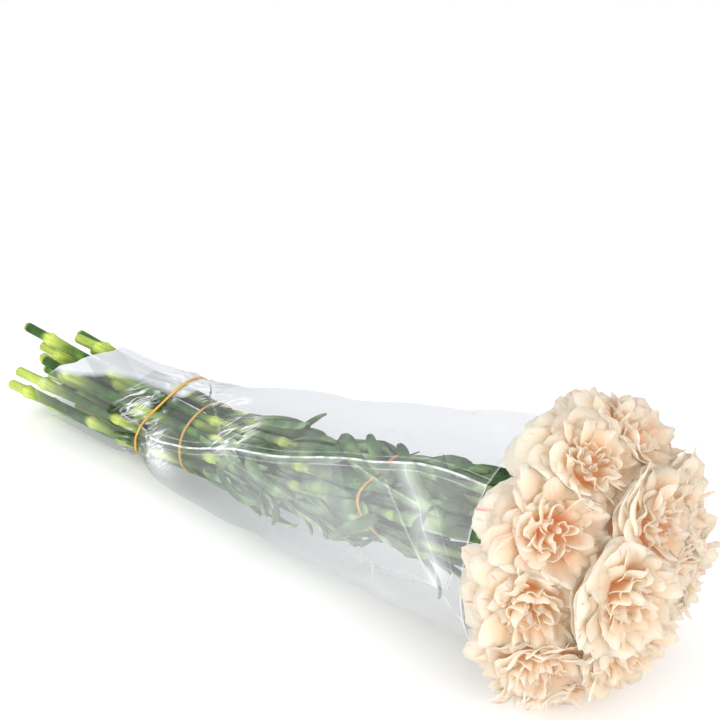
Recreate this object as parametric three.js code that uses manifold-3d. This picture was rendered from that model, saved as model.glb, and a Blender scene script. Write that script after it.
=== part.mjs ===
// A florist's bunch of eighteen double carnations, lying on its side, in a clear film sleeve.
// Units are millimetres and +Z is up. The stems run along +X, from their cut ends to the blooms.
import * as THREE from "three";
import { mergeVertices } from "three/addons/utils/BufferGeometryUtils.js";
import Module from "manifold-3d";

// ---------------------------------------------------------------- driving dimensions
const RING_COUNTS = [1, 6, 11]; // stems and blooms in the middle, the inner and the outer ring
const RING_TURNS = [0, 0.3, 0.12]; // where each ring starts, in radians from the near side
const INNER_RING_SHARE = 0.48; // the inner ring's distance from the axis, as a share of the outer's

const CUT_END = { x: 0, spread: 27 }; // where the stems are cut, and how unevenly
// The three rubber bands: the place along the stems, and how far the top of the loop lies ahead.
const BANDS = [
  { x: 156, slant: 23 },
  { x: 196, slant: 6 },
  { x: 385, slant: 5 },
];
const BAND_CLEAR_ZONE = 15; // no joint swells this near a band
const SEAT_GAP = 0.45; // between pieces that touch

const STEM_LENGTH = 520; // about, from the cut to the calyx
const STEM_CUT_RADIUS = 3.5;
const STEM_NECK_RADIUS = 2.4;
const STEM_SIDES = 5;
const JOINT_SWELL = 1.36; // a joint is this much thicker than its stem
const JOINT_SPACING = 94;
const FIRST_JOINT = [20, 36]; // from the cut end
const JOINT_HALF_LENGTH = 7;
const STEM_WANDER = 1.1; // how far a stem strays from its place in the bundle

const CALYX_LENGTH = 28;
const CALYX_RADIUS = 7.8;
const CUP_DEPTH = 8; // the hollow in the calyx that holds the bloom
const CUP_RADIUS = 6.7;

const LEAF_ZONE = [215, 450];
const LEAF_LENGTH = [62, 98];
const LEAF_WIDTH = [6.5, 9];
const LEAF_THICKNESS = 0.8;
const LEAF_RISE = [0, 24]; // how far its tip stands off its stem
const LEAF_CURL = 14;
const LEAF_SWAY = 12;
const LEAF_TRIES = 40; // each try is smaller and closer to the stem than the one before
const LEAVES_A_STEM = 4;
// Rows across a leaf: share of its length, share of its width.
const LEAF_ROWS = [
  [0, 0.3],
  [0.14, 0.85],
  [0.55, 1],
  [1, 0.14],
];

const PETAL_THICKNESS = 0.9;
const BLOOM_SQUEEZE_ZONE = 7; // petals start to give way this far from a neighbour
const BLOOM_CLEARANCE = 0.2; // from the plane halfway to a neighbour

const FILM_THICKNESS = 0.8;
const FILM_COLUMNS = 22;
const FILM_MOUTH = 494;
const FILM_TAIL = { middle: 48, slant: 38 }; // the stem side's edge is cut at a slant
const FILM_CRINKLE = 0.9;
const GRIP_HALF_LENGTH = 4; // the band's seat on the film
const GRIP_REACH = 20; // where the gathered film starts to open out
const GRIP_EASE = 16;
const BAND_WIDTH = 3;
const BAND_THICKNESS = 1.4;

// Height of the bundle's axis above the table, along X.
const AXIS_HEIGHT = [
  [-30, 42], [0, 41], [70, 40], [156, 39.5], [205, 41],
  [320, 54], [400, 69], [480, 84], [560, 92], [620, 94],
];
// Distance of the outer ring of stems from the axis, along X.
const OUTER_RING = [
  [-30, 34.5], [0, 33.5], [70, 31], [132, 30], [180, 28],
  [203, 25], [300, 24.5], [385, 25.5], [455, 28], [490, 30],
];
// Radius of the film sleeve, along X. Its waist is worked out from the stems that it grips.
const FILM_RADIUS = [
  [0, 42.5], [100, 41], [205, 46], [270, 51], [320, 55], [400, 61], [494, 70],
];
// The film is two sheets joined along two edges, which stand out from the round as creases.
const FILM_CREASE = { angle: 0.12, height: 6, width: 0.3 };
// Middle of a bloom, by ring: how far out and how far along it sits, and how far it leans out.
const BLOOM_PLACES = [
  { out: 0, along: 573, lean: 0 },
  { out: 38, along: 563, lean: 0.38 },
  { out: 67.5, along: 534, lean: 0.83 },
];
const BLOOM_MIDDLE = 18; // from the calyx mouth to the middle of the bloom

// Petal layers, from the guard petals in. Each place is [distance from the bloom's axis, height
// above the calyx mouth]. The fold is the crevice behind the layer, and the slope is its rise.
const PETAL_LAYERS = [
  { rim: [34.5, 10], fold: [16, 15.5], slope: 0.1, wave: 2.6, turn: 0 },
  { rim: [30, 24.5], fold: [12, 25], slope: 0.55, wave: 2.8, turn: 1 },
  { rim: [21, 36], fold: [6.5, 31], slope: 1, wave: 2.6, turn: 2 },
];
const PETALS_A_LAYER = 6;
const PETAL_COLUMNS = 3; // the first column of each petal is the notch beside it
const NOTCH_DEPTH = 0.27; // as a share of the rim's distance
const RIM_UNEVENNESS = 0.05;
const BLOOM_PLUG = { radius: 4.7, low: 0.4 - CUP_DEPTH, high: 1 };
const BLOOM_TUFT = { radius: 6, height: 38, wave: 2.4, pit: 33 };

// ---------------------------------------------------------------- finishes
const FINISHES = {
  petal: { color: 0xf6dcc0, roughness: 0.75, metalness: 0 },
  green: { color: 0x6f9a68, roughness: 0.6, metalness: 0 },
  film: { color: 0xe9ecee, roughness: 0.15, metalness: 0 },
  rubber: { color: 0xdf9f45, roughness: 0.55, metalness: 0 },
};

// ---------------------------------------------------------------- small helpers
const wasm = await Module();
wasm.setup();

// Numbers from 0 to 1, the same ones on every run for one seed.
function seeded(seed) {
  let state = seed;
  return () => {
    state = (state + 0x6d2b79f5) | 0;
    let t = Math.imul(state ^ (state >>> 15), 1 | state);
    t = (t + Math.imul(t ^ (t >>> 7), 61 | t)) ^ t;
    return ((t ^ (t >>> 14)) >>> 0) / 4294967296;
  };
}

const between = (draw, [low, high]) => low + (high - low) * draw();
const around = (draw, reach) => (2 * draw() - 1) * reach;

// Reads a list of [x, value] pairs, smoothly between the pairs.
function along(table, x) {
  const last = table.length - 1;
  if (x <= table[0][0]) return table[0][1];
  if (x >= table[last][0]) return table[last][1];
  const i = table.findIndex(([place]) => place > x) - 1;
  const t = (x - table[i][0]) / (table[i + 1][0] - table[i][0]);
  return THREE.MathUtils.lerp(table[i][1], table[i + 1][1], t * t * (3 - 2 * t) * 0.5 + t * 0.5);
}

// A closed three.js geometry as a solid that can be joined and cut.
function solidOf(geometry) {
  const bare = geometry.clone();
  bare.deleteAttribute("normal");
  bare.deleteAttribute("uv");
  const merged = mergeVertices(bare, 1e-3);
  return new wasm.Manifold(
    new wasm.Mesh({
      numProp: 3,
      vertProperties: merged.attributes.position.array,
      triVerts: new Uint32Array(merged.index.array),
    }),
  );
}

function meshOf(name, solid, finish) {
  const shape = solid.getMesh();
  const geometry = new THREE.BufferGeometry();
  geometry.setAttribute("position", new THREE.BufferAttribute(shape.vertProperties, 3));
  geometry.setIndex(new THREE.BufferAttribute(shape.triVerts, 1));
  geometry.computeVertexNormals();
  const mesh = new THREE.Mesh(geometry, new THREE.MeshStandardMaterial(FINISHES[finish]));
  mesh.name = name;
  return mesh;
}

// Keeps the largest body of a solid and drops loose scraps and sealed hollows.
function largestBody(solid) {
  return solid.decompose().reduce((a, b) => (a.volume() > b.volume() ? a : b));
}

// A closed solid over a grid of points: inner and outer faces alike, joined round the border.
// Where wrap is true, the last column meets the first and only the two end rows are joined.
function shellOf(outer, inner, wrap = false) {
  const rows = outer.length;
  const columns = outer[0].length;
  const position = [...outer.flat(), ...inner.flat()].flatMap((p) => [p.x, p.y, p.z]);
  const back = rows * columns;
  const at = (r, c) => r * columns + (c % columns);
  const faces = [];
  const quad = (a, b, c, d) => faces.push(a, b, c, a, c, d);
  const strips = wrap ? columns : columns - 1;
  for (let r = 0; r + 1 < rows; r++)
    for (let c = 0; c < strips; c++) {
      quad(at(r, c), at(r, c + 1), at(r + 1, c + 1), at(r + 1, c));
      faces.push(back + at(r, c), back + at(r + 1, c + 1), back + at(r, c + 1));
      faces.push(back + at(r, c), back + at(r + 1, c), back + at(r + 1, c + 1));
    }
  for (let c = 0; c < strips; c++) {
    quad(at(0, c + 1), at(0, c), back + at(0, c), back + at(0, c + 1));
    quad(at(rows - 1, c), at(rows - 1, c + 1), back + at(rows - 1, c + 1), back + at(rows - 1, c));
  }
  if (!wrap)
    for (let r = 0; r + 1 < rows; r++) {
      quad(at(r, 0), at(r + 1, 0), back + at(r + 1, 0), back + at(r, 0));
      const [near, far] = [at(r, columns - 1), at(r + 1, columns - 1)];
      quad(far, near, back + near, back + far);
    }
  const geometry = new THREE.BufferGeometry();
  geometry.setAttribute("position", new THREE.Float32BufferAttribute(position, 3));
  geometry.setIndex(faces);
  return geometry;
}

// A blade of even thickness over a grid of mid-surface points.
function bladeOf(grid, thickness) {
  const rows = grid.length;
  const columns = grid[0].length;
  const side = (sign) =>
    grid.map((row, r) =>
      row.map((point, c) => {
        const down = grid[Math.min(r + 1, rows - 1)][c].clone().sub(grid[Math.max(r - 1, 0)][c]);
        const over = row[Math.min(c + 1, columns - 1)].clone().sub(row[Math.max(c - 1, 0)]);
        const normal = down.cross(over).normalize();
        return point.clone().addScaledVector(normal, (sign * thickness) / 2);
      }),
    );
  return shellOf(side(-1), side(1));
}

// A cylinder whose rings of vertices are moved to the given rings, and its cap centres to the ends.
function skinOf(rings, ends) {
  const columns = rings[0].length;
  const geometry = new THREE.CylinderGeometry(1, 1, 1, columns, rings.length - 1);
  const position = geometry.attributes.position;
  for (let i = 0; i < position.count; i++) {
    const [x, z] = [position.getX(i), position.getZ(i)];
    const row = Math.round((0.5 - position.getY(i)) * (rings.length - 1));
    const column = Math.round((Math.atan2(x, z) / (2 * Math.PI)) * columns + columns) % columns;
    const onAxis = Math.hypot(x, z) < 0.5;
    const point = onAxis ? ends[row === 0 ? 0 : 1] : rings[row][column];
    position.setXYZ(i, point.x, point.y, point.z);
  }
  return geometry;
}

// A round stalk: stations are [distance, radius], and place gives a centre and a direction.
function stalkOf(stations, place, sides) {
  const rings = stations.map(([distance, radius]) => {
    const { point, heading } = place(distance);
    const left = new THREE.Vector3(0, 0, 1).cross(heading).normalize();
    const up = heading.clone().cross(left);
    return Array.from({ length: sides }, (_, i) => {
      const turn = (2 * Math.PI * i) / sides;
      const rim = left.clone().multiplyScalar(Math.sin(turn)).addScaledVector(up, Math.cos(turn));
      return point.clone().addScaledVector(rim, radius);
    });
  });
  return skinOf(rings, [place(stations[0][0]).point, place(stations.at(-1)[0]).point]);
}

// ---------------------------------------------------------------- places in the bunch
// Where each band crosses a line along the bundle at this angle round it.
const bandCrossings = (angle) => BANDS.map(({ x, slant }) => x + slant * Math.sin(angle));
const outward = (angle) => new THREE.Vector3(0, -Math.cos(angle), Math.sin(angle));
const axisPoint = (x) => new THREE.Vector3(x, 0, along(AXIS_HEIGHT, x));

// One place for each flower: its ring, its angle round the axis, its bloom's middle and lean.
function flowerPlaces() {
  const draw = seeded(7);
  return RING_COUNTS.flatMap((count, ring) =>
    Array.from({ length: count }, (_, i) => {
      const angle = RING_TURNS[ring] + (2 * Math.PI * i) / count;
      const { out, along: middle, lean } = BLOOM_PLACES[ring];
      const heading = outward(angle).multiplyScalar(Math.sin(lean)).setX(Math.cos(lean));
      const x = middle + around(draw, 5);
      const centre = axisPoint(x).addScaledVector(outward(angle), out + around(draw, 2));
      const mouth = centre.clone().addScaledVector(heading, -BLOOM_MIDDLE);
      return { ring, angle, heading, centre, mouth };
    }),
  ).map((flower, i) => ({ ...flower, number: i + 1 }));
}

// ---------------------------------------------------------------- leafy stems
// The stem's centre line, from its cut end to the foot of its calyx.
function stemPath(flower, draw) {
  const foot = flower.mouth.clone().addScaledVector(flower.heading, -CALYX_LENGTH);
  const share = [0, INNER_RING_SHARE, 1][flower.ring];
  const cut = CUT_END.x + around(draw, CUT_END.spread);
  const held = bandCrossings(flower.angle);
  const places = [cut, 75, ...held, 290, 455].sort((a, b) => a - b);
  const points = places.map((x) => {
    const point = axisPoint(x).addScaledVector(outward(flower.angle), share * along(OUTER_RING, x));
    if (held.includes(x)) return point;
    return point.add(new THREE.Vector3(0, around(draw, STEM_WANDER), around(draw, STEM_WANDER)));
  });
  points.push(foot.clone().addScaledVector(flower.heading, -9), foot);
  return new THREE.CatmullRomCurve3(points, false, "centripetal");
}

// How far along the path its X reaches a value.
function distanceAt(path, length, x) {
  let [low, high] = [0, length];
  while (high - low > 0.01) {
    const s = (low + high) / 2;
    if (path.getPointAt(s / length).x < x) low = s;
    else high = s;
  }
  return low;
}

// Joints stand a hand's width apart and keep clear of the bands.
function jointPlaces(path, length, bandsAt, draw) {
  const places = [];
  const last = length - CALYX_LENGTH;
  for (let at = between(draw, FIRST_JOINT); at < last; at += JOINT_SPACING * between(draw, [0.85, 1.15])) {
    const x = path.getPointAt(at / length).x;
    const near = bandsAt.find((band) => Math.abs(band - x) < BAND_CLEAR_ZONE);
    places.push(near === undefined ? at : at + near + BAND_CLEAR_ZONE - x);
  }
  return places;
}

function bareStem(flower) {
  const draw = seeded(100 + flower.number);
  const path = stemPath(flower, draw);
  const length = path.getLength();
  const bandsAt = bandCrossings(flower.angle);
  const joints = jointPlaces(path, length, bandsAt, draw);
  const radiusAt = (s) => THREE.MathUtils.lerp(STEM_CUT_RADIUS, STEM_NECK_RADIUS, s / length);
  const stations = [[0, radiusAt(0)]];
  for (const s of joints) {
    stations.push([s - JOINT_HALF_LENGTH, radiusAt(s)]);
    stations.push([s, JOINT_SWELL * radiusAt(s)]);
    stations.push([s + 0.6 * JOINT_HALF_LENGTH, radiusAt(s)]);
  }
  for (const x of bandsAt) {
    const s = distanceAt(path, length, x);
    stations.push([s, radiusAt(s)]);
  }
  stations.sort((a, b) => a[0] - b[0]);
  const calyx = [
    [0, STEM_NECK_RADIUS],
    [4, 0.72 * CALYX_RADIUS],
    [16, 0.9 * CALYX_RADIUS],
    [CALYX_LENGTH, CALYX_RADIUS],
    [CALYX_LENGTH - 0.4, CUP_RADIUS],
    [CALYX_LENGTH - CUP_DEPTH, 0.97 * CUP_RADIUS],
  ];
  stations.push(...calyx.map(([s, radius]) => [length + s, radius]));
  const place = (s) =>
    s < length
      ? { point: path.getPointAt(s / length), heading: path.getTangentAt(s / length) }
      : {
          point: flower.mouth.clone().addScaledVector(flower.heading, s - length - CALYX_LENGTH),
          heading: flower.heading,
        };
  return { flower, path, length, joints, radiusAt, solid: solidOf(stalkOf(stations, place, STEM_SIDES)) };
}

// A narrow leaf that leaves its stem just past a joint, runs beside it and bends away: the whole
// leaf, and its blade without the root, which must clear its own stem.
function leafSolids(stem, s, angle, shape) {
  const root = s + JOINT_HALF_LENGTH;
  const base = stem.path.getPointAt(root / stem.length);
  const ahead = stem.path.getTangentAt(root / stem.length);
  const left = new THREE.Vector3(0, 0, 1).cross(ahead).normalize();
  const up = ahead.clone().cross(left);
  const away = left.clone().multiplyScalar(Math.cos(angle)).addScaledVector(up, Math.sin(angle));
  const across = away.clone().cross(ahead);
  const radius = stem.radiusAt(s);
  const rows = LEAF_ROWS.map(([t, share]) => {
    const off = t === 0 ? 0.4 * radius : radius + 1.2 + shape.rise * t + shape.curl * t * t * t;
    const middle = base
      .clone()
      .addScaledVector(away, off)
      .addScaledVector(ahead, shape.length * (t - 0.22 * shape.bend * t * t))
      .addScaledVector(across, shape.sway * t * t);
    const half = (shape.width / 2) * share;
    const slant = across.clone().addScaledVector(away, shape.twist * t).normalize();
    return [middle.clone().addScaledVector(slant, -half), middle.clone().addScaledVector(slant, half)];
  });
  const [whole, blade] = [rows, rows.slice(1)].map((part) => solidOf(bladeOf(part, LEAF_THICKNESS)));
  return { whole, blade };
}

// True if every point of the solid lies inside the sleeve, clear of the film and of the mouth.
function insideSleeve(solid) {
  const shape = solid.getMesh();
  for (let i = 0; i < shape.vertProperties.length; i += 3) {
    const [x, y, z] = shape.vertProperties.subarray(i, i + 3);
    const rise = z - along(AXIS_HEIGHT, x);
    const room = filmRadius(x, Math.atan2(rise, -y)) - FILM_THICKNESS - 3.5;
    if (x > FILM_MOUTH - 2 || z < FILM_THICKNESS + 1.2 || Math.hypot(y, rise) > room) return false;
  }
  return true;
}

const isClear = (solid, others) =>
  others.every((other) => {
    const a = solid.boundingBox();
    const b = other.boundingBox();
    const apart = [0, 1, 2].some((k) => a.min[k] > b.max[k] + 1 || b.min[k] > a.max[k] + 1);
    return apart || solid.minGap(other, 1) > 0.4;
  });

// Adds leaves in opposite pairs at the joints in the leafy zone, where they clear the rest. A leaf
// is rooted on one flat side of its stem.
function addLeaves(stems, fixed) {
  const leaves = stems.map(() => []);
  stems.forEach((stem, i) => {
    const draw = seeded(300 + i);
    const otherStems = stems.filter((other) => other !== stem).map((other) => other.solid);
    const others = () => [...fixed, ...otherStems, ...leaves.flat()];
    for (const s of stem.joints) {
      const x = stem.path.getPointAt(s / stem.length).x;
      if (x < LEAF_ZONE[0] || x > LEAF_ZONE[1] || leaves[i].length >= LEAVES_A_STEM) continue;
      const first = Math.floor(STEM_SIDES * draw());
      for (const opposite of [0, 2.5])
        for (let turn = 0; turn < LEAF_TRIES; turn++) {
          const ease = 1 - (0.7 * turn) / LEAF_TRIES;
          const face = Math.floor(first + opposite + (turn / 9) * draw());
          const angle = Math.PI / 2 - (2 * Math.PI * (face + 0.5)) / STEM_SIDES;
          const { whole, blade } = leafSolids(stem, s, angle, {
            length: between(draw, LEAF_LENGTH) * (0.45 + 0.55 * ease),
            width: between(draw, LEAF_WIDTH) * (0.6 + 0.4 * ease),
            rise: between(draw, LEAF_RISE) * ease,
            curl: around(draw, LEAF_CURL) * ease,
            bend: draw(),
            sway: around(draw, LEAF_SWAY) * ease,
            twist: around(draw, 0.8),
          });
          const fits = insideSleeve(whole) && isClear(whole, others()) && isClear(blade, [stem.solid]);
          if (!fits) continue;
          leaves[i].push(whole);
          break;
        }
    }
  });
  return leaves;
}

// ---------------------------------------------------------------- blooms
// The planes halfway to the neighbours, and the table, that a bloom's petals stay behind.
function boundsOf(flower, flowers) {
  const planes = flowers
    .filter((other) => other !== flower)
    .map((other) => {
      const normal = other.centre.clone().sub(flower.centre);
      const reach = normal.length() / 2;
      normal.normalize();
      return { normal, limit: normal.dot(flower.centre) + reach - BLOOM_CLEARANCE };
    });
  planes.push({ normal: new THREE.Vector3(0, 0, -1), limit: 0 });
  return planes;
}

// Moves a point back behind the planes, gently at first, so that petals crowd instead of crossing.
function squeeze(point, planes, margin) {
  const zone = BLOOM_SQUEEZE_ZONE;
  for (const { normal, limit } of planes) {
    const depth = normal.dot(point) - (limit - margin - zone);
    if (depth > 0) point.addScaledVector(normal, zone * (1 - Math.exp(-depth / zone)) - depth);
  }
  for (const { normal, limit } of planes) {
    const beyond = normal.dot(point) - (limit - margin);
    if (beyond > 0) point.addScaledVector(normal, -beyond);
  }
  return point;
}

// The rings of points from the plug's foot, over each petal layer and its fold, to the tuft.
// A layer has an under side and an upper side, one petal thickness apart along its own normal.
function bloomRings(place, squeezed, draw) {
  const columns = PETALS_A_LAYER * PETAL_COLUMNS;
  const step = (2 * Math.PI) / columns;
  const ring = (pointAt) => Array.from({ length: columns }, (_, c) => pointAt(c, step * c));
  const plug = (height) => ring((_, turn) => place(BLOOM_PLUG.radius, turn, height));
  const rings = [plug(BLOOM_PLUG.low), plug(BLOOM_PLUG.high)];
  for (const { rim, fold, slope, wave, turn: shift } of PETAL_LAYERS) {
    const edge = ring((c, turn) => {
      const notch = (c + shift) % PETAL_COLUMNS === 0 ? 1 - NOTCH_DEPTH : 1;
      const out = rim[0] * notch * (1 + around(draw, RIM_UNEVENNESS));
      const lift = wave * (c % 2 ? 1 : -1) * (0.4 + 0.6 * draw());
      const point = squeezed(place(out - lift * Math.sin(slope), turn, rim[1] + lift * Math.cos(slope)));
      const upright = place(-Math.sin(slope), turn, Math.cos(slope)).sub(place(0, turn, 0));
      return { point, upright: upright.multiplyScalar(PETAL_THICKNESS / 2) };
    });
    rings.push(edge.map(({ point, upright }) => point.clone().sub(upright)));
    rings.push(edge.map(({ point, upright }) => point.clone().add(upright)));
    rings.push(ring((_, turn) => squeezed(place(fold[0], turn, fold[1]))));
  }
  const { radius, height, wave } = BLOOM_TUFT;
  rings.push(ring((c, turn) => squeezed(place(radius, turn, height + wave * (c % 2 ? 1 : -1)))));
  return rings;
}

function bloomSolid(flower, flowers) {
  const draw = seeded(500 + flower.number);
  const left = new THREE.Vector3(0, 0, 1).cross(flower.heading).normalize();
  const up = flower.heading.clone().cross(left);
  const frame = new THREE.Matrix4().makeBasis(left, up, flower.heading).setPosition(flower.mouth);
  const planes = boundsOf(flower, flowers);
  const place = (out, turn, height) =>
    new THREE.Vector3(out * Math.sin(turn), out * Math.cos(turn), height).applyMatrix4(frame);
  const squeezed = (point) => squeeze(point, planes, PETAL_THICKNESS / 2);
  const rings = bloomRings(place, squeezed, draw);
  const ends = [place(0, 0, BLOOM_PLUG.low), squeezed(place(0, 0, BLOOM_TUFT.pit))];
  return solidOf(skinOf(rings, ends));
}

// ---------------------------------------------------------------- film sleeve
const seatRadius = (x) => along(OUTER_RING, x) + STEM_CUT_RADIUS + SEAT_GAP;

// The film is gripped by the first band, opens out on both sides of it, and has its two creases.
function filmRadius(x, angle) {
  const off = Math.max(0, Math.abs(x - bandCrossings(angle)[0]) - GRIP_HALF_LENGTH);
  const grip = Math.exp(-((off / GRIP_EASE) ** 2));
  const turn = Math.asin(Math.sin(angle - FILM_CREASE.angle));
  const crease = FILM_CREASE.height * Math.exp(-((turn / FILM_CREASE.width) ** 2));
  return THREE.MathUtils.lerp(along(FILM_RADIUS, x) + crease, seatRadius(x) + FILM_THICKNESS, grip);
}

function sleeveSolid() {
  const draw = seeded(901);
  // The first rows run from the slanted tail to the gripped part, the next four follow the band on
  // its slant, and the rest are places along X.
  const tailRows = [3, 2, 1];
  const gripRows = [-GRIP_REACH, -GRIP_HALF_LENGTH, GRIP_HALF_LENGTH, GRIP_REACH];
  const bodyRows = [228, 270, 315, 360, 405, 450, FILM_MOUTH];
  const step = (2 * Math.PI) / FILM_COLUMNS;
  const angles = Array.from({ length: FILM_COLUMNS }, (_, c) => -Math.PI / 2 - step * c);
  const crinkle = angles.map(() => around(draw, FILM_CRINKLE));
  const columnPlaces = angles.map((angle) => {
    const band = bandCrossings(angle)[0];
    const tail = FILM_TAIL.middle + FILM_TAIL.slant * Math.sin(angle);
    const fromTail = tailRows.map((n) => THREE.MathUtils.lerp(band - GRIP_REACH, tail, n / tailRows.length));
    return [...fromTail, ...gripRows.map((off) => band + off), ...bodyRows];
  });
  const surface = (inset) =>
    columnPlaces[0].map((_, r) =>
      angles.map((angle, c) => {
        const x = columnPlaces[c][r];
        const gripped = r === tailRows.length + 1 || r === tailRows.length + 2;
        const fold = gripped ? 0 : crinkle[(c + r) % FILM_COLUMNS];
        const point = axisPoint(x).addScaledVector(outward(angle), filmRadius(x, angle) + fold - inset);
        point.z = Math.max(point.z, inset);
        return point;
      }),
    );
  return solidOf(shellOf(surface(0), surface(FILM_THICKNESS), true));
}

// ---------------------------------------------------------------- rubber bands
// A flat loop round the bundle on a slant. Its inner face stands clear of what it holds.
function bandSolid({ x: middle, slant }, innerRadius) {
  const corners = [
    [0, -0.5],
    [1, -0.5],
    [1, 0.5],
    [0, 0.5],
    [0, -0.5],
  ].map(([out, width]) => new THREE.Vector2(1 + out, width));
  const ring = new THREE.LatheGeometry(corners, FILM_COLUMNS).rotateZ(-Math.PI / 2);
  const place = ring.attributes.position;
  for (let i = 0; i < place.count; i++) {
    const [width, y, z] = [place.getX(i), place.getY(i), place.getZ(i)];
    const angle = Math.atan2(z, -y);
    const x = middle + slant * Math.sin(angle);
    const radius = innerRadius(x) + BAND_THICKNESS * (Math.hypot(y, z) - 1);
    const point = axisPoint(x).addScaledVector(outward(angle), radius);
    place.setXYZ(i, point.x + BAND_WIDTH * width, point.y, point.z);
  }
  return solidOf(ring);
}

// ---------------------------------------------------------------- the bunch
const flowers = flowerPlaces();
const stems = flowers.map(bareStem);
const overFilm = (x) => seatRadius(x) + FILM_THICKNESS + SEAT_GAP;
const overStems = (x) => {
  const stemRadius = THREE.MathUtils.lerp(STEM_CUT_RADIUS, STEM_NECK_RADIUS, x / STEM_LENGTH);
  return along(OUTER_RING, x) + stemRadius + SEAT_GAP;
};
const bands = BANDS.map((band, i) => bandSolid(band, i === 0 ? overFilm : overStems));
const leaves = addLeaves(stems, bands);

const bunch = new THREE.Group();
stems.forEach((stem, i) => {
  const whole = leaves[i].reduce((solid, leaf) => solid.add(leaf), stem.solid);
  bunch.add(meshOf("leafy_stem_" + String(i + 1).padStart(2, "0"), largestBody(whole), "green"));
});
flowers.forEach((flower) => {
  bunch.add(meshOf("bloom_" + String(flower.number).padStart(2, "0"), bloomSolid(flower, flowers), "petal"));
});
bunch.add(meshOf("clear_sleeve", sleeveSolid(), "film"));
bands.forEach((band, i) => bunch.add(meshOf("rubber_band_" + (i + 1), band, "rubber")));

// The part's origin is under the middle of its box, on the table.
const box = new THREE.Box3().setFromObject(bunch);
bunch.position.set(-(box.min.x + box.max.x) / 2, -(box.min.y + box.max.y) / 2, -box.min.z);

export default bunch;
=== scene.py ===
# %% [markdown]
# # A bunch of carnations in a clear film sleeve
# A florist's bunch is eighteen long stems with one double bloom each, gathered in the hand, held by
# rubber bands and slipped into a sleeve of clear film. It lies on its side on a pale table.
# The solid model gives every piece its place. Here each piece is made again as finely as it looks:
# ruffled petals, waxy stems with swollen joints, narrow grey-green leaves, crinkled film and bands.

import math

import bpy
import numpy as np
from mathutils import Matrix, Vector


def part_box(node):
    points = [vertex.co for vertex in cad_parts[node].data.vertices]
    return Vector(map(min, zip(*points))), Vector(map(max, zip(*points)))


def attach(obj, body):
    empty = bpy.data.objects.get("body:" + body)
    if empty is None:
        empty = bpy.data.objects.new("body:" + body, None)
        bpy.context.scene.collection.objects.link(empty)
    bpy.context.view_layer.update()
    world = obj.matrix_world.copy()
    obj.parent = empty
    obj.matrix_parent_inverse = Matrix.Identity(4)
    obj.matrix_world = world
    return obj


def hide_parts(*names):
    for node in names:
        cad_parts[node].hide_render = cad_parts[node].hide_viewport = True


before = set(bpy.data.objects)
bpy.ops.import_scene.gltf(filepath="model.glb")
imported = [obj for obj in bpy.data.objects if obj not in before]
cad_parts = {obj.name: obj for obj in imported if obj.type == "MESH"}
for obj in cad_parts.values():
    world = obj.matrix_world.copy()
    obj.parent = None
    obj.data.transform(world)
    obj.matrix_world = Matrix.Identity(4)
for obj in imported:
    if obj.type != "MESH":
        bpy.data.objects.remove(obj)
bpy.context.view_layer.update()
print("solid pieces:", len(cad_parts))

# %% [markdown]
# ## The measure of the bunch
# All shapes below are worked out in millimetres from the mean cut end of the stems, as a grower
# measures a bunch: X runs along the stems, and the axis of the bundle rises towards the blooms.
# The sleeve's mouth and the second band say where the solid model was centred.

# %% Millimetres along the bunch
MM = 0.001
SLEEVE_MOUTH = 494
sleeve_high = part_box("clear_sleeve")[1]
band_low, band_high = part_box("rubber_band_2")
ORIGIN = np.array([SLEEVE_MOUTH - sleeve_high.x / MM, -(band_low.y + band_high.y) / 2 / MM, 0])


def in_frame(points):
    """Points in millimetres along the bunch, as metres in the model's frame."""
    return (np.asarray(points, float) - ORIGIN) * MM


print("cut end and middle line lie at", np.round(ORIGIN, 2))

# %% [markdown]
# ## Even chance
# Growth is uneven, but it has to be the same on every run. A small counter gives numbers from 0 to
# 1 that look random, and the same counter gave the solid stems their places.


# %% Seeded numbers
def seeded(seed):
    state = seed

    def draw():
        nonlocal state
        state = (state + 0x6D2B79F5) & 0xFFFFFFFF
        t = ((state ^ (state >> 15)) * (1 | state)) & 0xFFFFFFFF
        t = ((t + (((t ^ (t >> 7)) * (61 | t)) & 0xFFFFFFFF)) & 0xFFFFFFFF) ^ t
        return (t ^ (t >> 14)) / 4294967296

    return draw


def around(draw, reach):
    return (2 * draw() - 1) * reach


def between(draw, low, high):
    return low + (high - low) * draw()


first = seeded(1)
print("the counter starts with", [round(first(), 3) for _ in range(3)])


# %% [markdown]
# A shape that changes along the bunch is written as a short table, and read smoothly in between.

# %% Smooth tables
def along(table, x):
    """Reads a list of (x, value) pairs, smoothly between the pairs."""
    places, values = np.array(table, float).T
    x = np.clip(x, places[0], places[-1])
    i = np.clip(np.searchsorted(places, x, side="right") - 1, 0, len(places) - 2)
    t = (x - places[i]) / (places[i + 1] - places[i])
    return values[i] + (values[i + 1] - values[i]) * (t * t * (3 - 2 * t) + t) / 2


# %% [markdown]
# ## The lie of the bundle
# One stem stands in the middle, six round it and eleven round those. The bands pinch the bundle,
# and beyond the third band the stems spread into the dome of blooms. The stems run through the
# places where the solid bands hold them. The bands that are seen have slipped and hang a little
# askew, as rubber bands do, so they have a list of their own.

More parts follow.
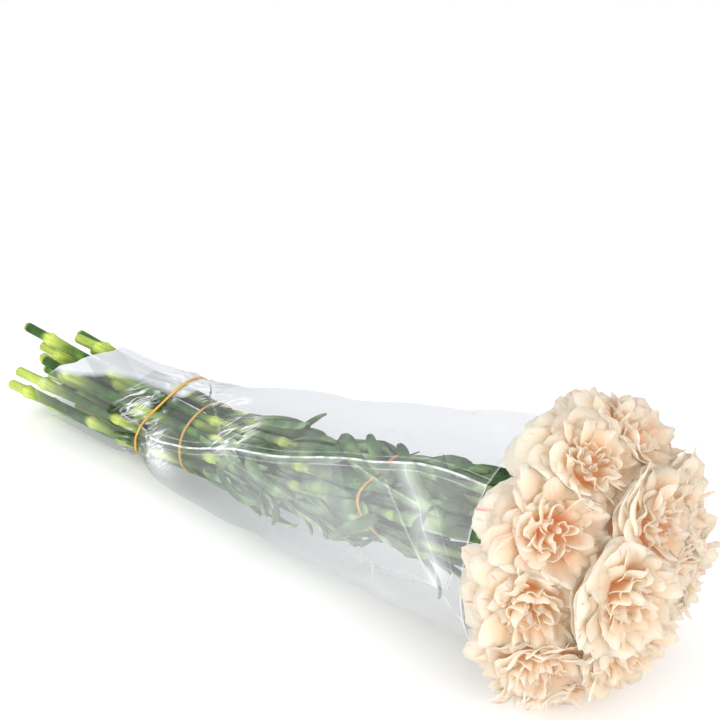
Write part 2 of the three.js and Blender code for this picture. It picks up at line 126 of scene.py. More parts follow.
# %% Tables of the bundle
AXIS_HEIGHT = [
    (-30, 42), (0, 41), (70, 40), (156, 39.5), (205, 41),
    (320, 54), (400, 69), (480, 84), (560, 92), (620, 94),
]  # fmt: skip
OUTER_RING = [
    (-30, 34.5), (0, 33.5), (70, 31), (132, 30), (180, 28),
    (203, 25), (300, 24.5), (385, 25.5), (455, 28), (490, 30),
]  # fmt: skip
FILM_RADIUS = [
    (0, 40.5), (70, 39), (110, 39), (156, 40), (205, 46),
    (270, 51), (320, 55), (400, 61), (494, 70),
]  # fmt: skip
BANDS = [(156, 23), (196, 6), (385, 5)]  # place, and how far the top lies ahead
SEEN_BANDS = [(157, 23, 5), (200, 2, 0), (386, 0, 8)]  # the same, and how far it hangs askew
RINGS = [(1, 0.0, 0.0), (6, 0.3, 0.48), (11, 0.12, 1.0)]  # stems, turn, share of the radius
BLOOM_PLACES = [(0, 573, 0), (38, 563, 0.38), (67.5, 534, 0.83)]  # out, along, lean
BLOOM_MIDDLE, CALYX_LENGTH = 18, 28
STEM_CUT_RADIUS, STEM_NECK_RADIUS, STEM_LENGTH = 3.5, 2.4, 520
SEAT_GAP, SOLID_FILM = 0.45, 0.8  # between pieces that touch, and the solid film's thickness
print("bands lie at, mm:", [band[0] for band in BANDS])
print("and are seen at:", [band[0] for band in SEEN_BANDS])


# %% [markdown]
# The angle round the axis is counted from the near side, upwards. Every flower gets an angle, a
# heading that leans outward, the middle of its bloom, and the mouth of its calyx.

# %% Places in the bundle
def outward(angle):
    return np.array([0 * angle, -np.cos(angle), np.sin(angle)])


def axis_point(x):
    return np.array([x, 0, along(AXIS_HEIGHT, x)])


def band_place(number, angle):
    """Where a seen band lies along the bunch, at an angle round it."""
    middle, slant, hang = SEEN_BANDS[number]
    askew = -np.exp(-(((angle - 0.4) / 0.5) ** 2)) - 1.4 * np.minimum(0, np.sin(angle))
    return middle + slant * np.sin(angle) + hang * askew


def band_crossings(angle):
    return [x + slant * np.sin(angle) for x, slant in BANDS]


def flower_places():
    draw, flowers = seeded(7), []
    for (count, turn, share), (out, middle, lean) in zip(RINGS, BLOOM_PLACES):
        for i in range(count):
            angle = turn + 2 * math.pi * i / count
            heading = outward(angle) * math.sin(lean)
            heading[0] = math.cos(lean)
            x = middle + around(draw, 5)
            centre = axis_point(x) + outward(angle) * (out + around(draw, 2))
            mouth = centre - heading * BLOOM_MIDDLE
            number = len(flowers) + 1
            flower = dict(number=number, angle=angle, share=share, heading=heading)
            flowers.append(dict(**flower, centre=centre, mouth=mouth))
    return flowers


flowers = flower_places()
print("flowers:", len(flowers))

# %% [markdown]
# ## The line of a stem
# A stem is a smooth curve through the places where the bands hold it. The curve is the same kind
# that the solid model uses, so the fine stem runs down the middle of the solid one.


# %% A smooth path
class Path:
    """A centripetal Catmull-Rom curve, measured along its length."""

    def __init__(self, points):
        p = np.asarray(points, float)
        p = np.vstack([2 * p[0] - p[1], p, 2 * p[-1] - p[-2]])
        fine = []
        for i in range(len(p) - 3):
            a, b, c, d = p[i : i + 4]
            gaps = [max(np.linalg.norm(n - m), 1e-6) ** 0.5 for m, n in ((a, b), (b, c), (c, d))]
            t1 = ((b - a) / gaps[0] - (c - a) / (gaps[0] + gaps[1]) + (c - b) / gaps[1]) * gaps[1]
            t2 = ((c - b) / gaps[1] - (d - b) / (gaps[1] + gaps[2]) + (d - c) / gaps[2]) * gaps[1]
            t = np.linspace(0, 1, 40, endpoint=False)[:, None]
            fine.append(
                b + t1 * t + (3 * (c - b) - 2 * t1 - t2) * t**2 + (2 * (b - c) + t1 + t2) * t**3
            )
        self.line = np.vstack(fine + [p[-2]])
        self.at = np.concatenate([[0], np.cumsum(np.linalg.norm(np.diff(self.line, axis=0), axis=1))])
        self.length = self.at[-1]

    def point(self, s):
        return np.stack([np.interp(s, self.at, self.line[:, k]) for k in range(3)], -1)

    def heading(self, s):
        d = self.point(np.minimum(s + 1, self.length)) - self.point(np.maximum(s - 1, 0))
        return d / np.linalg.norm(d, axis=-1, keepdims=True)


def sideways(heading):
    """Two directions square to a heading: to its left, and up."""
    left = np.cross([0, 0, 1], heading)
    left = left / np.linalg.norm(left, axis=-1, keepdims=True)
    return left, np.cross(heading, left)


# %% [markdown]
# A stem starts at its cut end, runs under the bands at its own angle, and bends out to the foot of
# its calyx. Its joints come every eight to eleven centimetres, but never right under a solid band.

# %% Stem lines
CUT_SPREAD, BAND_CLEAR_ZONE, STEM_WANDER = 27, 15, 1.1
JOINT_SPACING, FIRST_JOINT = 94, (20, 36)


def stem_of(flower):
    draw = seeded(100 + flower["number"])
    angle, share, mouth = flower["angle"], flower["share"], flower["mouth"]
    foot = mouth - flower["heading"] * CALYX_LENGTH
    cut = around(draw, CUT_SPREAD)
    held = band_crossings(angle)
    points = []
    for x in sorted([cut, 75, *held, 290, 455]):
        point = axis_point(x) + outward(angle) * share * along(OUTER_RING, x)
        if x not in held:
            point = point + [0, around(draw, STEM_WANDER), around(draw, STEM_WANDER)]
        points.append(point)
    path = Path([*points, foot - flower["heading"] * 9, foot])
    joints, at = [], between(draw, *FIRST_JOINT)
    while at < path.length - CALYX_LENGTH:
        x = path.point(at)[0]
        near = [band for band in held if abs(band - x) < BAND_CLEAR_ZONE]
        joints.append(at + near[0] + BAND_CLEAR_ZONE - x if near else at)
        at += JOINT_SPACING * between(draw, 0.85, 1.15)
    return dict(flower=flower, path=path, joints=joints)


def stem_radius(stem, s):
    return STEM_CUT_RADIUS + (STEM_NECK_RADIUS - STEM_CUT_RADIUS) * s / stem["path"].length


def bundle_radius(x):
    """From the axis to the outside of the outer stems."""
    stem = STEM_CUT_RADIUS + (STEM_NECK_RADIUS - STEM_CUT_RADIUS) * x / STEM_LENGTH
    return along(OUTER_RING, x) + stem


stems = [stem_of(flower) for flower in flowers]
print("stem lengths, mm:", [round(stem["path"].length) for stem in stems])


# %% [markdown]
# ## The room inside the sleeve
# The film's radius at a place and an angle round the axis. It stands on the stems where the first
# band grips it, with some slack over the top, and its two flat seams stand out at its sides. Leaves
# are kept inside it, and under the two bands round the stems. The film itself is laid on it later.


# %% Radius of the film
SEAM_ANGLE = [
    (0, 0.3), (156, 0.36), (194, 0.39), (229, 0.45),
    (294, 0.64), (365, 0.79), (442, 0.89), (494, 0.84),
]  # fmt: skip
SEAM_HEIGHT, SEAM_WIDTH = 6, 0.3
GRIP_HALF_LENGTH, GRIP_EASE = 4, 16


def seam_angle(x):
    return along(SEAM_ANGLE, x)


def slack(angle):
    """How far the film and the first band stand off the stems over the top."""
    return 10 * np.maximum(0, np.sin(angle - 0.15)) ** 2.5


def film_radius(x, angle):
    place, slant = BANDS[0]
    off = np.maximum(0, np.abs(x - place - slant * np.sin(angle)) - GRIP_HALF_LENGTH)
    grip = np.exp(-((off / GRIP_EASE) ** 2))
    turn = np.arcsin(np.sin(angle - seam_angle(x)))
    open_radius = along(FILM_RADIUS, x) + SEAM_HEIGHT * np.exp(-((turn / SEAM_WIDTH) ** 2))
    held_radius = along(OUTER_RING, x) + STEM_CUT_RADIUS + SEAT_GAP + SOLID_FILM + slack(angle)
    return open_radius + (held_radius - open_radius) * grip


print("film radius at the mouth, mm:", round(float(film_radius(SLEEVE_MOUTH, 0.0)), 1))


# %% [markdown]
# Leaves are soft, so a point of a leaf that would come through a band or the film is pulled in
# towards the axis, and none goes under the table.

# %% Keeping leaves in
def under_bands(points):
    """Points of a leaf that the two inner bands hold against the stems."""
    x, axis = points[:, 0], along(AXIS_HEIGHT, points[:, 0])
    up = points[:, 2] - axis
    reach, angle = np.maximum(np.hypot(points[:, 1], up), 1e-6), np.arctan2(up, -points[:, 1])
    most = np.full(len(points), 99.0)
    for number in (1, 2):
        off = np.maximum(0, np.abs(x - band_place(number, angle)) - 2.5)
        most = np.minimum(most, bundle_radius(x) + 0.1 + 0.6 * off)
    share = np.minimum(1, most / reach)
    return np.stack([x, points[:, 1] * share, axis + up * share], -1)


def inside_sleeve(points, room=2.5):
    """Points kept inside the film and above the table."""
    x = points[:, 0]
    up = points[:, 2] - along(AXIS_HEIGHT, x)
    reach = np.maximum(np.hypot(points[:, 1], up), 1e-6)
    most = film_radius(x, np.arctan2(up, -points[:, 1])) - room
    share = np.where(x < SLEEVE_MOUTH + 12, np.minimum(1, most / reach), 1)
    z = along(AXIS_HEIGHT, x) + up * share
    return np.stack([x, points[:, 1] * share, np.maximum(z, 2.0)], -1)


far_point = np.array([[300.0, -90.0, 60.0]])
print("a point outside the film:", far_point[0].tolist())
print("pulled in:", inside_sleeve(far_point)[0].round(1).tolist())


# %% [markdown]
# ## Bench tools
# Two ways of making are used all through. A grid is laid along a shape ring by ring, like a skin on
# a form. A thing that repeats, such as a petal, is modelled once and its copies are each bent to
# their own place and gathered in one mesh.


# %% Selecting
def nothing_selected():
    if bpy.context.object and bpy.context.object.mode != "OBJECT":
        bpy.ops.object.mode_set(mode="OBJECT")
    bpy.ops.object.select_all(action="DESELECT")


def only(piece):
    nothing_selected()
    piece.select_set(True)
    bpy.context.view_layer.objects.active = piece


def select_where(piece, test):
    """Selects the vertices that pass a test, then enters edit mode."""
    only(piece)
    bpy.ops.object.mode_set(mode="EDIT")
    bpy.ops.mesh.select_mode(type="VERT")
    bpy.ops.mesh.select_all(action="DESELECT")
    bpy.ops.object.mode_set(mode="OBJECT")
    for vertex in piece.data.vertices:
        vertex.select = bool(test(vertex.co))
    bpy.ops.object.mode_set(mode="EDIT")


# %% [markdown]
# A tube, such as a stem or a band, is a grid whose rows are the rings of the tube.

# %% Laying a grid
def flat_grid(name, columns, rows):
    nothing_selected()
    bpy.ops.mesh.primitive_grid_add(x_subdivisions=columns, y_subdivisions=rows, size=2)
    piece = bpy.context.object
    piece.name = piece.data.name = name
    return piece


def note(piece, name, values):
    """Writes one number for each vertex, for the materials to read."""
    piece.data.attributes.new(name, "FLOAT", "POINT")
    piece.data.attributes[name].data.foreach_set("value", np.asarray(values, np.float32).ravel())


def laid_tube(name, rings, notes, ends_closed=True):
    """A grid laid round the rings, seamed where it meets itself and closed at both ends."""
    rings = np.concatenate([rings, rings[:, :1]], axis=1)
    piece = flat_grid(name, rings.shape[1] - 1, rings.shape[0] - 1)
    piece.data.vertices.foreach_set("co", in_frame(rings.reshape(-1, 3)).ravel())
    for key, values in notes.items():
        note(piece, key, np.repeat(values, rings.shape[1]))
    bpy.ops.object.mode_set(mode="EDIT")
    bpy.ops.mesh.select_all(action="SELECT")
    bpy.ops.mesh.remove_doubles(threshold=1e-5)
    if ends_closed:
        bpy.ops.mesh.fill_holes(sides=0)
    bpy.ops.mesh.select_all(action="SELECT")
    bpy.ops.mesh.normals_make_consistent(inside=False)
    bpy.ops.object.mode_set(mode="OBJECT")
    bpy.ops.object.shade_smooth()
    return piece


# %% [markdown]
# A bloom has more than sixty petals, so the copies are written straight into one mesh, with the
# master's faces and its own UV map, and then get their thickness together.

# %% Gathering copies
def gathered(name, master, laid, notes):
    """Copies of the master's mesh in one mesh, each at its own laid points."""
    count = len(master.data.vertices)
    faces = [list(p.vertices) for p in master.data.polygons]
    mesh = bpy.data.meshes.new(name)
    mesh.from_pydata(
        in_frame(np.vstack(laid)),
        [],
        [[v + i * count for v in face] for i in range(len(laid)) for face in faces],
    )
    flat = np.zeros(2 * len(master.data.loops))
    master.data.uv_layers[0].data.foreach_get("uv", flat)
    mesh.uv_layers.new(name="blade").data.foreach_set("uv", np.tile(flat, len(laid)))
    mesh.polygons.foreach_set("use_smooth", np.ones(len(mesh.polygons), bool))
    piece = bpy.data.objects.new(name, mesh)
    bpy.context.scene.collection.objects.link(piece)
    for key, values in notes.items():
        note(piece, key, values)
    return piece


def apply_wall(piece, thickness):
    """Gives a thin sheet its thickness."""
    only(piece)
    wall = piece.modifiers.new("wall", "SOLIDIFY")
    wall.thickness, wall.offset, wall.use_even_offset = thickness * MM, 0, False
    bpy.ops.object.modifier_apply(modifier="wall")


# %% [markdown]
# ## Colours and nodes
# Colours are written as a painter reads them off a chart, and one function turns them to the linear
# values that light needs. One small function adds a node with its settings and links.


# %% Colour and node helpers
def linear(chart):
    parts = [int(chart[i : i + 2], 16) / 255 for i in (1, 3, 5)]
    return (*[c / 12.92 if c <= 0.04045 else ((c + 0.055) / 1.055) ** 2.4 for c in parts], 1)


def add(tree, kind, settings=None, links=None):
    """Adds a node with its settings, socket values or colour stops, and links it to its sources."""
    node = tree.nodes.new(kind)
    for key, value in (settings or {}).items():
        if key == "stops":
            while len(node.color_ramp.elements) < len(value):
                node.color_ramp.elements.new(0.5)
            for element, (place, chart) in zip(node.color_ramp.elements, value):
                element.position, element.color = place, linear(chart)
        elif isinstance(key, str) and hasattr(node, key):
            setattr(node, key, value)
        else:
            node.inputs[key].default_value = value
    for key, source in (links or {}).items():
        socket = source.outputs[0] if isinstance(source, bpy.types.Node) else source
        tree.links.new(socket, node.inputs[key])
    return node


def material(name):
    made = bpy.data.materials.new(name)
    made.use_nodes = True
    made.node_tree.nodes.clear()
    return made, made.node_tree


print("petal cream, as light:", [round(c, 2) for c in linear("#F5E2C9")[:3]])

# %% [markdown]
# ## Petal finish
# A fresh petal is thin, matt and a little velvety, and light comes through it. This variety is
# cream at the rim and peach towards the base, with a few streaks of pink. Fine veins fan out along
# the blade. Light that is scattered from petal to petal makes the gaps between them glow peach, and
# a weak glow of the petal itself, strongest at its base, stands for that here.


# %% Fresh petal
def fresh_petal():
    made, tree = material("fresh_carnation_petal")
    inner, tint = [
        add(tree, "ShaderNodeAttribute", {"attribute_name": name}).outputs["Fac"]
        for name in ("inner", "tint")
    ]
    blade = add(tree, "ShaderNodeUVMap", {"uv_map": "blade"})
    sides = add(tree, "ShaderNodeSeparateXYZ", links={0: blade})
    body = add(tree, "ShaderNodeTexCoord").outputs["Object"]
    # Soft mottling, in patches of 11 mm, keeps one petal from looking like the next.
    mottle = add(tree, "ShaderNodeTexNoise", {"Scale": 90.0, "Detail": 3.0}, {"Vector": body})
    # The place along the blade, made uneven, and nearer its base on the petals of the middle.
    uneven = add(tree, "ShaderNodeMath", {"operation": "MULTIPLY_ADD", 1: 0.3, 2: -0.15}, {0: mottle})
    length = add(tree, "ShaderNodeMath", {"operation": "ADD"}, {0: sides.outputs[1], 1: uneven})
    nearer = add(tree, "ShaderNodeMath", {"operation": "MULTIPLY", 1: 0.14}, {0: inner})
    length = add(tree, "ShaderNodeMath", {"operation": "SUBTRACT"}, {0: length, 1: nearer})
    creamy, pinkish, glow = [
        add(tree, "ShaderNodeValToRGB", {"stops": stops}, {"Fac": length})
        for stops in (
            [(0.05, "#F9C493"), (0.3, "#F7D6B2"), (0.55, "#F5E2C9"), (0.8, "#F5ECDB"), (1.0, "#F6F2E7")],
            [(0.05, "#FAB293"), (0.35, "#F7CDB2"), (0.65, "#F5DFCF"), (1.0, "#F6F0E6")],
            # The glow: peach deep between the petals, and dim at the rim.
            [(0.1, "#F8CDA0"), (0.45, "#D8B891"), (0.8, "#6C5E4C")],
        )
    ]
    blush = add(tree, "ShaderNodeMath", {"operation": "MULTIPLY", 1: 0.5}, {0: tint})
    blushed = add(tree, "ShaderNodeMix", {"data_type": "RGBA"}, {0: blush, 6: creamy, 7: pinkish})
    # Pink streaks about 2.5 mm wide and 12 mm long: only the highest peaks of a drawn-out noise.
    spread = add(tree, "ShaderNodeCombineXYZ", links={0: sides.outputs[0], 1: sides.outputs[1], 2: tint})
    drawn = add(tree, "ShaderNodeMapping", {"Scale": (17.0, 3.6, 40.0)}, {"Vector": spread})
    streak = add(tree, "ShaderNodeTexNoise", {"Scale": 1.0, "Detail": 1.0}, {"Vector": drawn})
    highest = {"From Min": 0.67, "From Max": 0.82, "To Min": 0.0, "To Max": 0.85}
    peaks = add(tree, "ShaderNodeMapRange", highest, {"Value": streak})
    pink = {"data_type": "RGBA", 7: linear("#F2708C")}
    colour = add(tree, "ShaderNodeMix", pink, {0: peaks, 6: blushed.outputs[2]}).outputs[2]
    # Veins 1 to 1.5 mm apart at the rim, coarser than the real ones, which would be too fine to show.
    fan = {"Scale": 9.0, "Distortion": 3.0, "Detail": 2.0, "Detail Scale": 1.5}
    veins = add(tree, "ShaderNodeTexWave", fan, {"Vector": spread})
    bump = add(tree, "ShaderNodeBump", {"Strength": 0.18, "Distance": 0.0005}, {"Height": veins})
    rough = add(tree, "ShaderNodeMapRange", {"To Min": 0.5, "To Max": 0.7}, {"Value": mottle})
    velvet = {"Sheen Weight": 0.05, "Sheen Roughness": 0.5, "IOR": 1.42, "Specular IOR Level": 0.25}
    skin = add(
        tree,
        "ShaderNodeBsdfPrincipled",
        {**velvet, "Emission Strength": 0.24},
        {"Base Color": colour, "Roughness": rough, "Normal": bump, "Emission Color": glow},
    )
    # Light passes two walls of a petal, so each wall takes only the root of the colour.
    half_way = add(tree, "ShaderNodeGamma", {"Gamma": 0.5}, {"Color": colour})
    through = add(tree, "ShaderNodeBsdfTranslucent", links={"Color": half_way, "Normal": bump})
    both = add(tree, "ShaderNodeMixShader", {0: 0.68}, {1: skin, 2: through})
    add(tree, "ShaderNodeOutputMaterial", links={"Surface": both})
    return made


petal_finish = fresh_petal()
print("nodes in the petal finish:", len(petal_finish.node_tree.nodes))

# %% [markdown]
# ## One petal, flat
# Pulled from its bloom, a carnation petal is a fan on a narrow claw, with a toothed rim. It starts
# as a grid, its rows are drawn in to the outline of the fan, its corners are rounded, and every
# second vertex of the rim is pushed out as a tooth.

# %% Flat petal
PETAL_COLUMNS, PETAL_ROWS = 14, 6
RIM_WIDTH = 0.91
PETAL_OUTLINE = [
    (0, 0.14), (0.17, 0.24), (0.33, 0.45), (0.5, 0.74), (0.67, 0.93), (0.83, 1), (1, RIM_WIDTH),
]  # fmt: skip


def flat_petal():
    petal = flat_grid("flat_petal", PETAL_COLUMNS, PETAL_ROWS)
    for row in range(PETAL_ROWS + 1):
        y = -1 + 2 * row / PETAL_ROWS
        select_where(petal, lambda co: abs(co.y - y) < 0.01)
        width = float(along(PETAL_OUTLINE, row / PETAL_ROWS))
        bpy.ops.transform.resize(value=(width, 1, 1), center_override=(0, 0, 0))
    draw = seeded(5)
    for column in range(PETAL_COLUMNS + 1):
        x = -1 + 2 * column / PETAL_COLUMNS
        tooth = between(draw, 0.0, 0.045) if column % 2 else 0.0
        select_where(petal, lambda co: abs(co.x - RIM_WIDTH * x) < 0.01 and co.y > 0.99)
        bpy.ops.transform.translate(value=(0, tooth - 0.22 * x**4, 0))
    nothing_selected()
    return petal


petal_master = flat_petal()
petal_flat = np.array([v.co for v in petal_master.data.vertices])
print("a petal has", len(petal_master.data.polygons), "faces")

# %% [markdown]
# ## A bloom
# A double carnation packs forty petals or more. Nine outer guard petals lie nearly flat, and the rest
# follow each other by the golden angle, as leaves and petals do when they grow, each a little
# steeper and nearer the middle than the last, up to a crumpled tuft. Sixty-eight are drawn, because
# each is less crumpled than a real one. Each copy of the flat petal is bent up its own arch, curved
# round the bloom, twisted, folded, and ruffled more towards its rim. Towards a neighbour a petal
# reaches further and stands up, so that no gap shows, and where two blooms meet their petals give
# way, as they do in a tight bunch.

# %% Room for a bloom
PETALS, GUARDS, GOLDEN_ANGLE = 68, 9, 2.39996
PETAL_WALL, NEIGHBOUR_WITHIN, PRESSED_PAST, TABLE_ROOM = 0.3, 90, 4, 0.6
# Height of a petal's rim over the mouth of the calyx, by its reach from the bloom's axis.
RIM_HEIGHT = [
    (0, 35.5), (8, 34.5), (15, 32.5), (21.5, 29.5), (27, 25), (31.5, 18.5), (34.5, 11.5), (36, 6),
]  # fmt: skip


def neighbours_of(flower):
    """The planes that a bloom stays behind: halfway to each neighbour, and the table."""
    planes = []
    for other in flowers:
        gap = other["centre"] - flower["centre"]
        if other is not flower and np.linalg.norm(gap) < NEIGHBOUR_WITHIN:
            normal = gap / np.linalg.norm(gap)
            planes.append((normal, normal @ flower["centre"] + np.linalg.norm(gap) / 2 + PRESSED_PAST))
    planes.append((np.array([0, 0, -1.0]), -TABLE_ROOM))
    return planes


def give_way(points, planes, zone=9):
    """Presses points back from the planes, more and more gently from a zone before each."""
    for normal, limit in planes:
        depth = points @ normal - (limit - zone)
        back = np.where(depth > 0, zone * (1 - np.exp(-np.maximum(depth, 0) / zone)) - depth, 0)
        points = points + back[:, None] * normal
    return points


def room_beside(flower, planes, rise, outward_side):
    """How far a petal may reach from the axis before it meets the next bloom."""
    rim = flower["mouth"] + flower["heading"] * rise
    towards = [(limit - normal @ rim, normal @ outward_side) for normal, limit in planes]
    return min((gap / facing for gap, facing in towards if facing > 0.25), default=99)


print("neighbours of the middle bloom:", len(neighbours_of(flowers[0])) - 1)


# %% [markdown]
# A petal rises out of the calyx and arches outward: a steep claw below, the blade above. The same
# four points make the arch of an upright middle petal and of a flat guard petal.

# %% Bending a petal
def petal_arch(reach, rise, inner, b):
    """The line up a petal's middle, out and up from the bloom's axis, and the way off its face."""
    ends = np.array(
        [
            (1.5 + 1.5 * (1 - inner), -5),
            (4 + 2.5 * (1 - inner), 0.5 * rise + 5),
            (0.6 * reach + 7 * inner**2, rise * (1 - 0.12 * inner) + 8.5 * (1 - inner)),
            (reach, rise),
        ]
    )
    t = b[:, None]
    arch = (
        ends[0] * (1 - t) ** 3
        + 3 * ends[1] * t * (1 - t) ** 2
        + 3 * ends[2] * t**2 * (1 - t)
        + ends[3] * t**3
    )
    slope = (
        (ends[1] - ends[0]) * (1 - t) ** 2
        + 2 * (ends[2] - ends[1]) * t * (1 - t)
        + (ends[3] - ends[2]) * t**2
    )
    slope /= np.linalg.norm(slope, axis=1, keepdims=True)
    return arch, np.stack([-slope[:, 1], slope[:, 0]], -1)


def bent_petal(turn, reach, rise, inner, draw):
    """A copy of the flat petal, bent to its place in a bloom at the origin that faces +Z."""
    ruffle, width = 1.8 + 1.2 * inner, (44 - 14 * inner) * between(draw, 0.85, 1.15)
    twist, roll = around(draw, 0.1 + 0.24 * inner), between(draw, -5.0, 3.5)
    fold = around(draw, 0.3) * inner
    across = petal_flat[:, 0] * width / 2
    b = np.clip((petal_flat[:, 1] + 1) / 2, 0, 1.05)
    arch, normal = petal_arch(reach, rise, inner, b)
    k, p, q = between(draw, 1.1, 1.9), 6.3 * draw(), 6.3 * draw()
    side = petal_flat[:, 0]
    lift = ruffle * b**2.5 * np.sin(math.pi * k * side + p) + 2.4 * b**1.5 * np.sin(2.2 * side + q)
    lift = lift + (twist * across + fold * np.abs(across)) * b + roll * np.maximum(b - 0.6, 0) ** 2 / 0.16
    place = arch + normal * lift[:, None]
    around_turn = turn + across / (arch[:, 0] + 5 + 9 * inner)
    around_turn = around_turn + 0.04 * ruffle * b**2 * np.cos(math.pi * k * side + p) / 3
    r = np.maximum(place[:, 0], 0.4)
    return np.stack([r * np.sin(around_turn), r * np.cos(around_turn), place[:, 1]], -1)


upright = petal_arch(8, 34.5, 1.0, np.array([0.0, 1.0]))[0]
print("a middle petal starts and ends at, mm:", upright.round(1).tolist())


# %% [markdown]
# The petals are laid from the outside in. Each has its own draw of turn, reach, height and tint, and
# all the copies are joined into one piece and given their thickness.

# %% Spiral of petals
def bloom(flower):
    draw = seeded(700 + flower["number"])
    left, up = sideways(flower["heading"])
    planes = neighbours_of(flower)
    blush = between(draw, 0.0, 0.6)
    laid, inners, tints = [], [], []
    start = 6.3 * draw()
    for i in range(PETALS):
        inner = max(0, i - GUARDS) / (PETALS - 1 - GUARDS)
        turn = start + (2 * math.pi / GUARDS if i < GUARDS else GOLDEN_ANGLE) * i + around(draw, 0.3)
        reach = (1 + 35 * (1 - inner) ** 0.74) * (1 + around(draw, 0.07))
        rise = along(RIM_HEIGHT, reach) + around(draw, 2.5)
        outward_side = left * math.sin(turn) + up * math.cos(turn)
        crowded = max(normal @ outward_side for normal, _ in planes[:-1])
        crowd = math.sqrt(1 - inner) * np.clip(2 * crowded - 0.6, 0, 1)
        room = room_beside(flower, planes[:-1], rise, outward_side)
        reach = max(reach, min(reach * (1 + 0.5 * crowd), room + 8))
        squeeze = np.clip((reach + 5 - room) / 14, 0, 1)
        if i >= GUARDS:
            rise = rise + max(squeeze * (25 - rise), 9 * crowd * (1 - inner), 0)
        petal = bent_petal(turn, reach, rise, inner, draw)
        points = flower["mouth"] + petal @ np.array([left, up, flower["heading"]])
        laid.append(give_way(points, planes))
        inners.append(np.full(len(points), inner))
        tints.append(np.full(len(points), np.clip(blush + around(draw, 0.4), 0, 1)))
    name = "ruffled_bloom_%02d" % flower["number"]
    piece = gathered(name, petal_master, laid, {"inner": inners, "tint": tints})
    apply_wall(piece, PETAL_WALL)
    piece.data.materials.append(petal_finish)
    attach(piece, "root")
    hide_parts("bloom_%02d" % flower["number"])
    return piece


blooms = [bloom(flower) for flower in flowers]
bpy.data.objects.remove(petal_master)
print("petals in a bloom:", PETALS)
print("faces in a bloom:", len(blooms[0].data.polygons))

# %% [markdown]
# ## Green finish
# Carnation stems and leaves are fresh green under a pale wax that makes them grey-green. The wax is
# thickest on the leaves, and the joints, the stripped sheaths and the cut ends are yellow-green.


# %% Waxy green
def waxy_green():
    made, tree = material("waxy_green_stem_and_leaf")
    pale, wax = [
        add(tree, "ShaderNodeAttribute", {"attribute_name": name}).outputs["Fac"]
        for name in ("pale", "wax")
    ]
    body = add(tree, "ShaderNodeTexCoord").outputs["Object"]
    # Ribs 2.4 mm wide along the bunch, coarser than the real ones, and patches 18 mm wide.
    stretched = add(tree, "ShaderNodeMapping", {"Scale": (40.0, 420.0, 420.0)}, {"Vector": body})
    grain = add(tree, "ShaderNodeTexNoise", {"Scale": 1.0, "Detail": 3.0}, {"Vector": stretched})
    patches = add(tree, "ShaderNodeTexNoise", {"Scale": 55.0, "Detail": 2.0}, {"Vector": body})
    fresh, grey, yellow = [
        add(tree, "ShaderNodeValToRGB", {"stops": stops}, {"Fac": source})
        for source, stops in (
            (patches, [(0.32, "#16340A"), (0.5, "#2A4F10"), (0.7, "#4C7A18")]),
            (patches, [(0.32, "#3A5632"), (0.5, "#648456"), (0.7, "#AEC490")]),
            (grain, [(0.3, "#90B036"), (0.6, "#C6D268")]),
        )
    ]
    waxed = add(tree, "ShaderNodeMix", {"data_type": "RGBA"}, {0: wax, 6: fresh, 7: grey})
    blend = {0: pale, 6: waxed.outputs[2], 7: yellow}
    colour = add(tree, "ShaderNodeMix", {"data_type": "RGBA"}, blend).outputs[2]
    bump = add(tree, "ShaderNodeBump", {"Strength": 0.3, "Distance": 0.0004}, {"Height": grain})
    rough = add(tree, "ShaderNodeMapRange", {"To Min": 0.38, "To Max": 0.62}, {"Value": patches})
    skin = add(
        tree,
        "ShaderNodeBsdfPrincipled",
        {"IOR": 1.45, "Specular IOR Level": 0.3},
        {"Base Color": colour, "Roughness": rough, "Normal": bump},
    )
    add(tree, "ShaderNodeOutputMaterial", links={"Surface": skin})
    return made


green_finish = waxy_green()
print("nodes in the green finish:", len(green_finish.node_tree.nodes))

# %% [markdown]
# ## One leaf, flat
# The leaf is a narrow blade with a keel, widest near its foot and drawn out to a fine point.

# %% Flat leaf
LEAF_ROWS = 18
LEAF_OUTLINE = [(0, 0.6), (0.2, 0.95), (0.5, 1), (0.78, 0.88), (0.93, 0.62), (1, 0.14)]


def flat_leaf():
    leaf = flat_grid("flat_leaf", 2, LEAF_ROWS)
    for row in range(LEAF_ROWS + 1):
        y = -1 + 2 * row / LEAF_ROWS
        select_where(leaf, lambda co: abs(co.y - y) < 0.01)
        bpy.ops.transform.resize(
            value=(float(along(LEAF_OUTLINE, row / LEAF_ROWS)), 1, 1), center_override=(0, 0, 0)
        )
    select_where(leaf, lambda co: abs(co.x) < 0.01)
    bpy.ops.transform.translate(value=(0, 0, -0.4))
    nothing_selected()
    return leaf


leaf_master = flat_leaf()
leaf_flat = np.array([v.co for v in leaf_master.data.vertices])
print("points in a flat leaf:", len(leaf_flat))


# %% [markdown]
# ## Where the leaves grow
# The solid stems carry four leaves each. Their blades are found again in the solid model's own
# vertices: whatever stands clear of the stem belongs to a leaf, and each leaf is three cross rows.
# More leaves are then added between them, because a real bunch is dense there.


